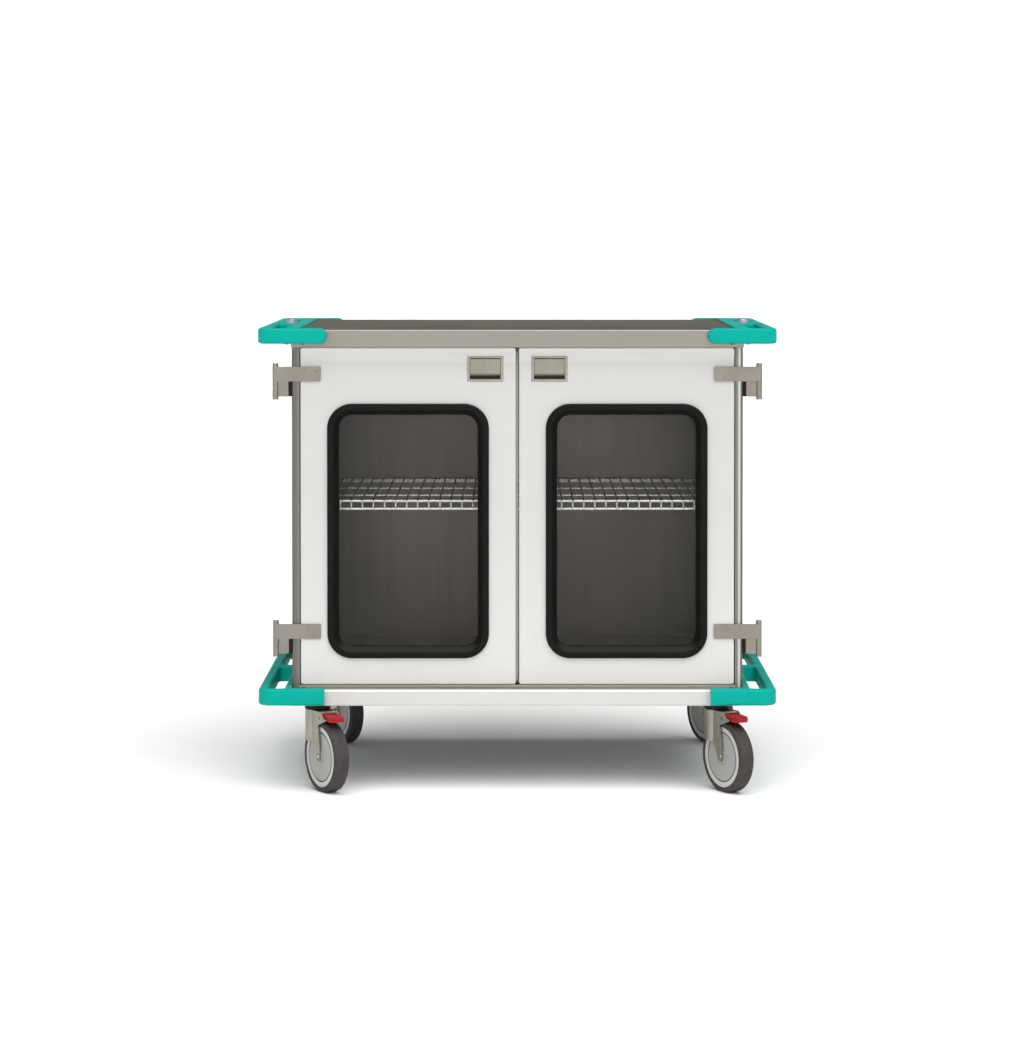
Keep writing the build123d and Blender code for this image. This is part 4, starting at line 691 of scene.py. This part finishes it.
def screw_tree():
    """Domed heads with a six-sided socket, one on each point, turned to face its direction."""
    radius, height = STRAP_SCREW
    tree, entry, leave = start_tree("socket_screws", (
        ("Head radius", "Float", radius), ("Head height", "Float", height),
        ("Socket radius", "Float", radius * SOCKET_WIDTH_SHARE),
        ("Socket depth", "Float", height * SOCKET_DEPTH_SHARE), ("Finish", "Material", None),
    ))
    ball = add_node(tree, "GeometryNodeMeshUVSphere", Segments=28, Rings=14, Radius=1.0)
    size = point(tree, X=entry["Head radius"], Y=entry["Head radius"], Z=entry["Head height"])
    dome = add_node(tree, "GeometryNodeTransform", Geometry=ball.outputs["Mesh"], Scale=size)
    deep = join_values(tree, "MULTIPLY", entry["Socket depth"], 2.0)
    pit = add_node(tree, "GeometryNodeMeshCylinder", Vertices=6, Radius=entry["Socket radius"], Depth=deep)
    lift = point(tree, Z=entry["Head height"])
    raised = add_node(tree, "GeometryNodeTransform", Geometry=pit.outputs["Mesh"], Translation=lift)
    cut = tree.nodes.new("GeometryNodeMeshBoolean")
    cut.operation = "DIFFERENCE"
    tree.links.new(dome.outputs["Geometry"], cut.inputs[0])
    tree.links.new(raised.outputs["Geometry"], cut.inputs[1])
    facing = add_node(tree, "GeometryNodeInputNamedAttribute", {"data_type": "FLOAT_VECTOR"}, Name="facing")
    outward = facing.outputs["Attribute"]
    turn = add_node(tree, "FunctionNodeAlignRotationToVector", {"axis": "Z"}, Vector=outward)
    heads = add_node(tree, "GeometryNodeInstanceOnPoints", Points=entry["Start"], Instance=cut.outputs[0],
                     Rotation=turn.outputs[0])
    close_tree(tree, entry, leave, [heads.outputs["Instances"]])
    return tree


screws = screw_tree()


def make_screws(node, seats, facing, head, body):
    radius, height = head
    start = start_mesh(node + "_seats", seats, [], facing)
    sizes = {
        "Head radius": radius, "Head height": height, "Socket radius": radius * SOCKET_WIDTH_SHARE,
        "Socket depth": height * SOCKET_DEPTH_SHARE, "Finish": finishes[slot_of[node]],
    }
    grow(node + "_heads", screws, start, sizes, body, node, SCREW_CREASE)


def middles(node):
    """The middle of each loose solid in a node, with its lowest and highest corners."""
    shape = bmesh.new()
    shape.from_mesh(nodes[node].data)
    bmesh.ops.remove_doubles(shape, verts=shape.verts, dist=SAME_POINT)
    left, found = set(shape.verts), []
    while left:
        heap, group = [left.pop()], []
        while heap:
            vertex = heap.pop()
            group.append(vertex.co.copy())
            for edge in vertex.link_edges:
                other = edge.other_vert(vertex)
                if other in left:
                    left.remove(other)
                    heap.append(other)
        low = Vector([min(p[i] for p in group) for i in range(3)])
        high = Vector([max(p[i] for p in group) for i in range(3)])
        found.append(((low + high) / 2, low, high))
    shape.free()
    return sorted(found, key=lambda item: tuple(round(v, 4) for v in item[0]))


def make_all_screws():
    for side in ("left", "right"):
        node = f"door_{side}_strap_screws"
        seats = [(middle.x, low.y + STRAP_SCREW[1], middle.z) for middle, low, high in middles(node)]
        make_screws(node, seats, [(0, -1, 0)] * len(seats), STRAP_SCREW, f"door_{side}")
    seats, facing = [], []
    for middle, low, high in middles("hinge_leaf_screws"):
        outward = 1 if middle.x > 0 else -1
        face = high.x if outward > 0 else low.x
        seats.append((face - outward * LEAF_SCREW[1], middle.y, middle.z))
        facing.append((outward, 0, 0))
    make_screws("hinge_leaf_screws", seats, facing, LEAF_SCREW, "cart")
    seats, facing = [], []
    for middle, low, high in middles("bumper_screws"):
        on_deck = middle.z < 0.5
        seat = high.z - BUMPER_SCREW[1] if on_deck else low.z + UNDER_HANDLE_SEAT
        seats.append((middle.x, middle.y, seat))
        facing.append((0, 0, 1 if on_deck else -1))
    make_screws("bumper_screws", seats, facing, BUMPER_SCREW, "cart")


make_all_screws()

# Floor, light and camera

LAMP_STRENGTH, LAMP_WAY, LAMP_SPREAD = 3.4, (0.10, -0.46, 0.88), (0.67, 0.93)
WALL_STRENGTH, WALL_AHEAD, WALL_HEIGHTS = 1.3, (-0.2, -0.8), (0.16, 0.03)
PAPER_HEIGHTS, PAPER_STRENGTHS = (0.075, 0.17), (1.02, 0.14)
SENSOR, LONG_SIDE, FOCAL_LENGTH = 36.0, 1043, 3237.8
MIDDLE_COLUMN, AXIS_COLUMN, AXIS_SHIFT = 512, 517.35, -0.2063
CAMERA_AHEAD, CAMERA_HEIGHT, CAMERA_DIP = 6.8318, 1.2100, 1.5


def make_floor():
    mesh = bpy.data.meshes.new("studio_floor")
    mesh.from_pydata([(-60, -40, 0), (60, -40, 0), (60, 120, 0), (-60, 120, 0)], [], [(0, 1, 2, 3)])
    floor = bpy.data.objects.new("studio_floor", mesh)
    bpy.context.scene.collection.objects.link(floor)
    white = (0.99, 0.99, 0.99)
    finish, tree, shader, place = start_finish("studio_floor", white, 0.0, 0.9)
    drift = speckle(tree, place, 2.0, 2.0)
    tone = blend_colours(tree, spread(tree, drift, 0.0, 1.0), white, shaded(white, 0.997))
    tree.links.new(tone, shader.inputs["Base Color"])
    shader.inputs["Specular IOR Level"].default_value = 0.0
    mesh.materials.append(finish)


def make_studio():
    """White paper all round, dimmer high up, a bright low wall and one wide soft light high in front."""
    world = bpy.data.worlds.new("pale_studio")
    world.use_nodes = True
    tree = world.node_tree
    tree.nodes.clear()
    output = tree.nodes.new("ShaderNodeOutputWorld")
    paper = tree.nodes.new("ShaderNodeBackground")
    way = tree.nodes.new("ShaderNodeTexCoord").outputs["Generated"]
    paper_high = axis_share(tree, way, "Z", *PAPER_HEIGHTS)
    ahead = axis_share(tree, way, "Y", *WALL_AHEAD)
    low = axis_share(tree, way, "Z", *WALL_HEIGHTS)
    wall = join_values(tree, "MULTIPLY", join_values(tree, "MULTIPLY", ahead, low), WALL_STRENGTH)
    towards = tree.nodes.new("ShaderNodeVectorMath")
    towards.operation = "DOT_PRODUCT"
    tree.links.new(way, towards.inputs[0])
    towards.inputs[1].default_value = Vector(LAMP_WAY).normalized()
    lamp = spread(tree, towards.outputs["Value"], 0.0, LAMP_STRENGTH, *LAMP_SPREAD)
    paper_light = spread(tree, paper_high, *PAPER_STRENGTHS, 0.0, 1.0)
    light = join_values(tree, "ADD", join_values(tree, "ADD", paper_light, wall), lamp)
    tree.links.new(light, paper.inputs["Strength"])
    paper.inputs["Color"].default_value = (1.0, 0.994, 0.982, 1)
    tree.links.new(paper.outputs["Background"], output.inputs["Surface"])
    bpy.context.scene.world = world
    bpy.context.scene.view_settings.view_transform = "Standard"


def make_camera():
    lens = bpy.data.cameras.new("photo_camera")
    lens.sensor_width = SENSOR
    lens.lens = FOCAL_LENGTH / LONG_SIDE * SENSOR
    lens.shift_x = (MIDDLE_COLUMN - AXIS_COLUMN) / LONG_SIDE
    lens.shift_y = AXIS_SHIFT
    lens.clip_end = 200.0
    camera = bpy.data.objects.new("photo_camera", lens)
    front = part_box("handle_bumper_left")[0].y
    camera.location = (0.0, front - CAMERA_AHEAD, CAMERA_HEIGHT)
    camera.rotation_euler = (radians(90 - CAMERA_DIP), 0, 0)
    bpy.context.scene.collection.objects.link(camera)
    bpy.context.scene.camera = camera


make_floor()
make_studio()
make_camera()
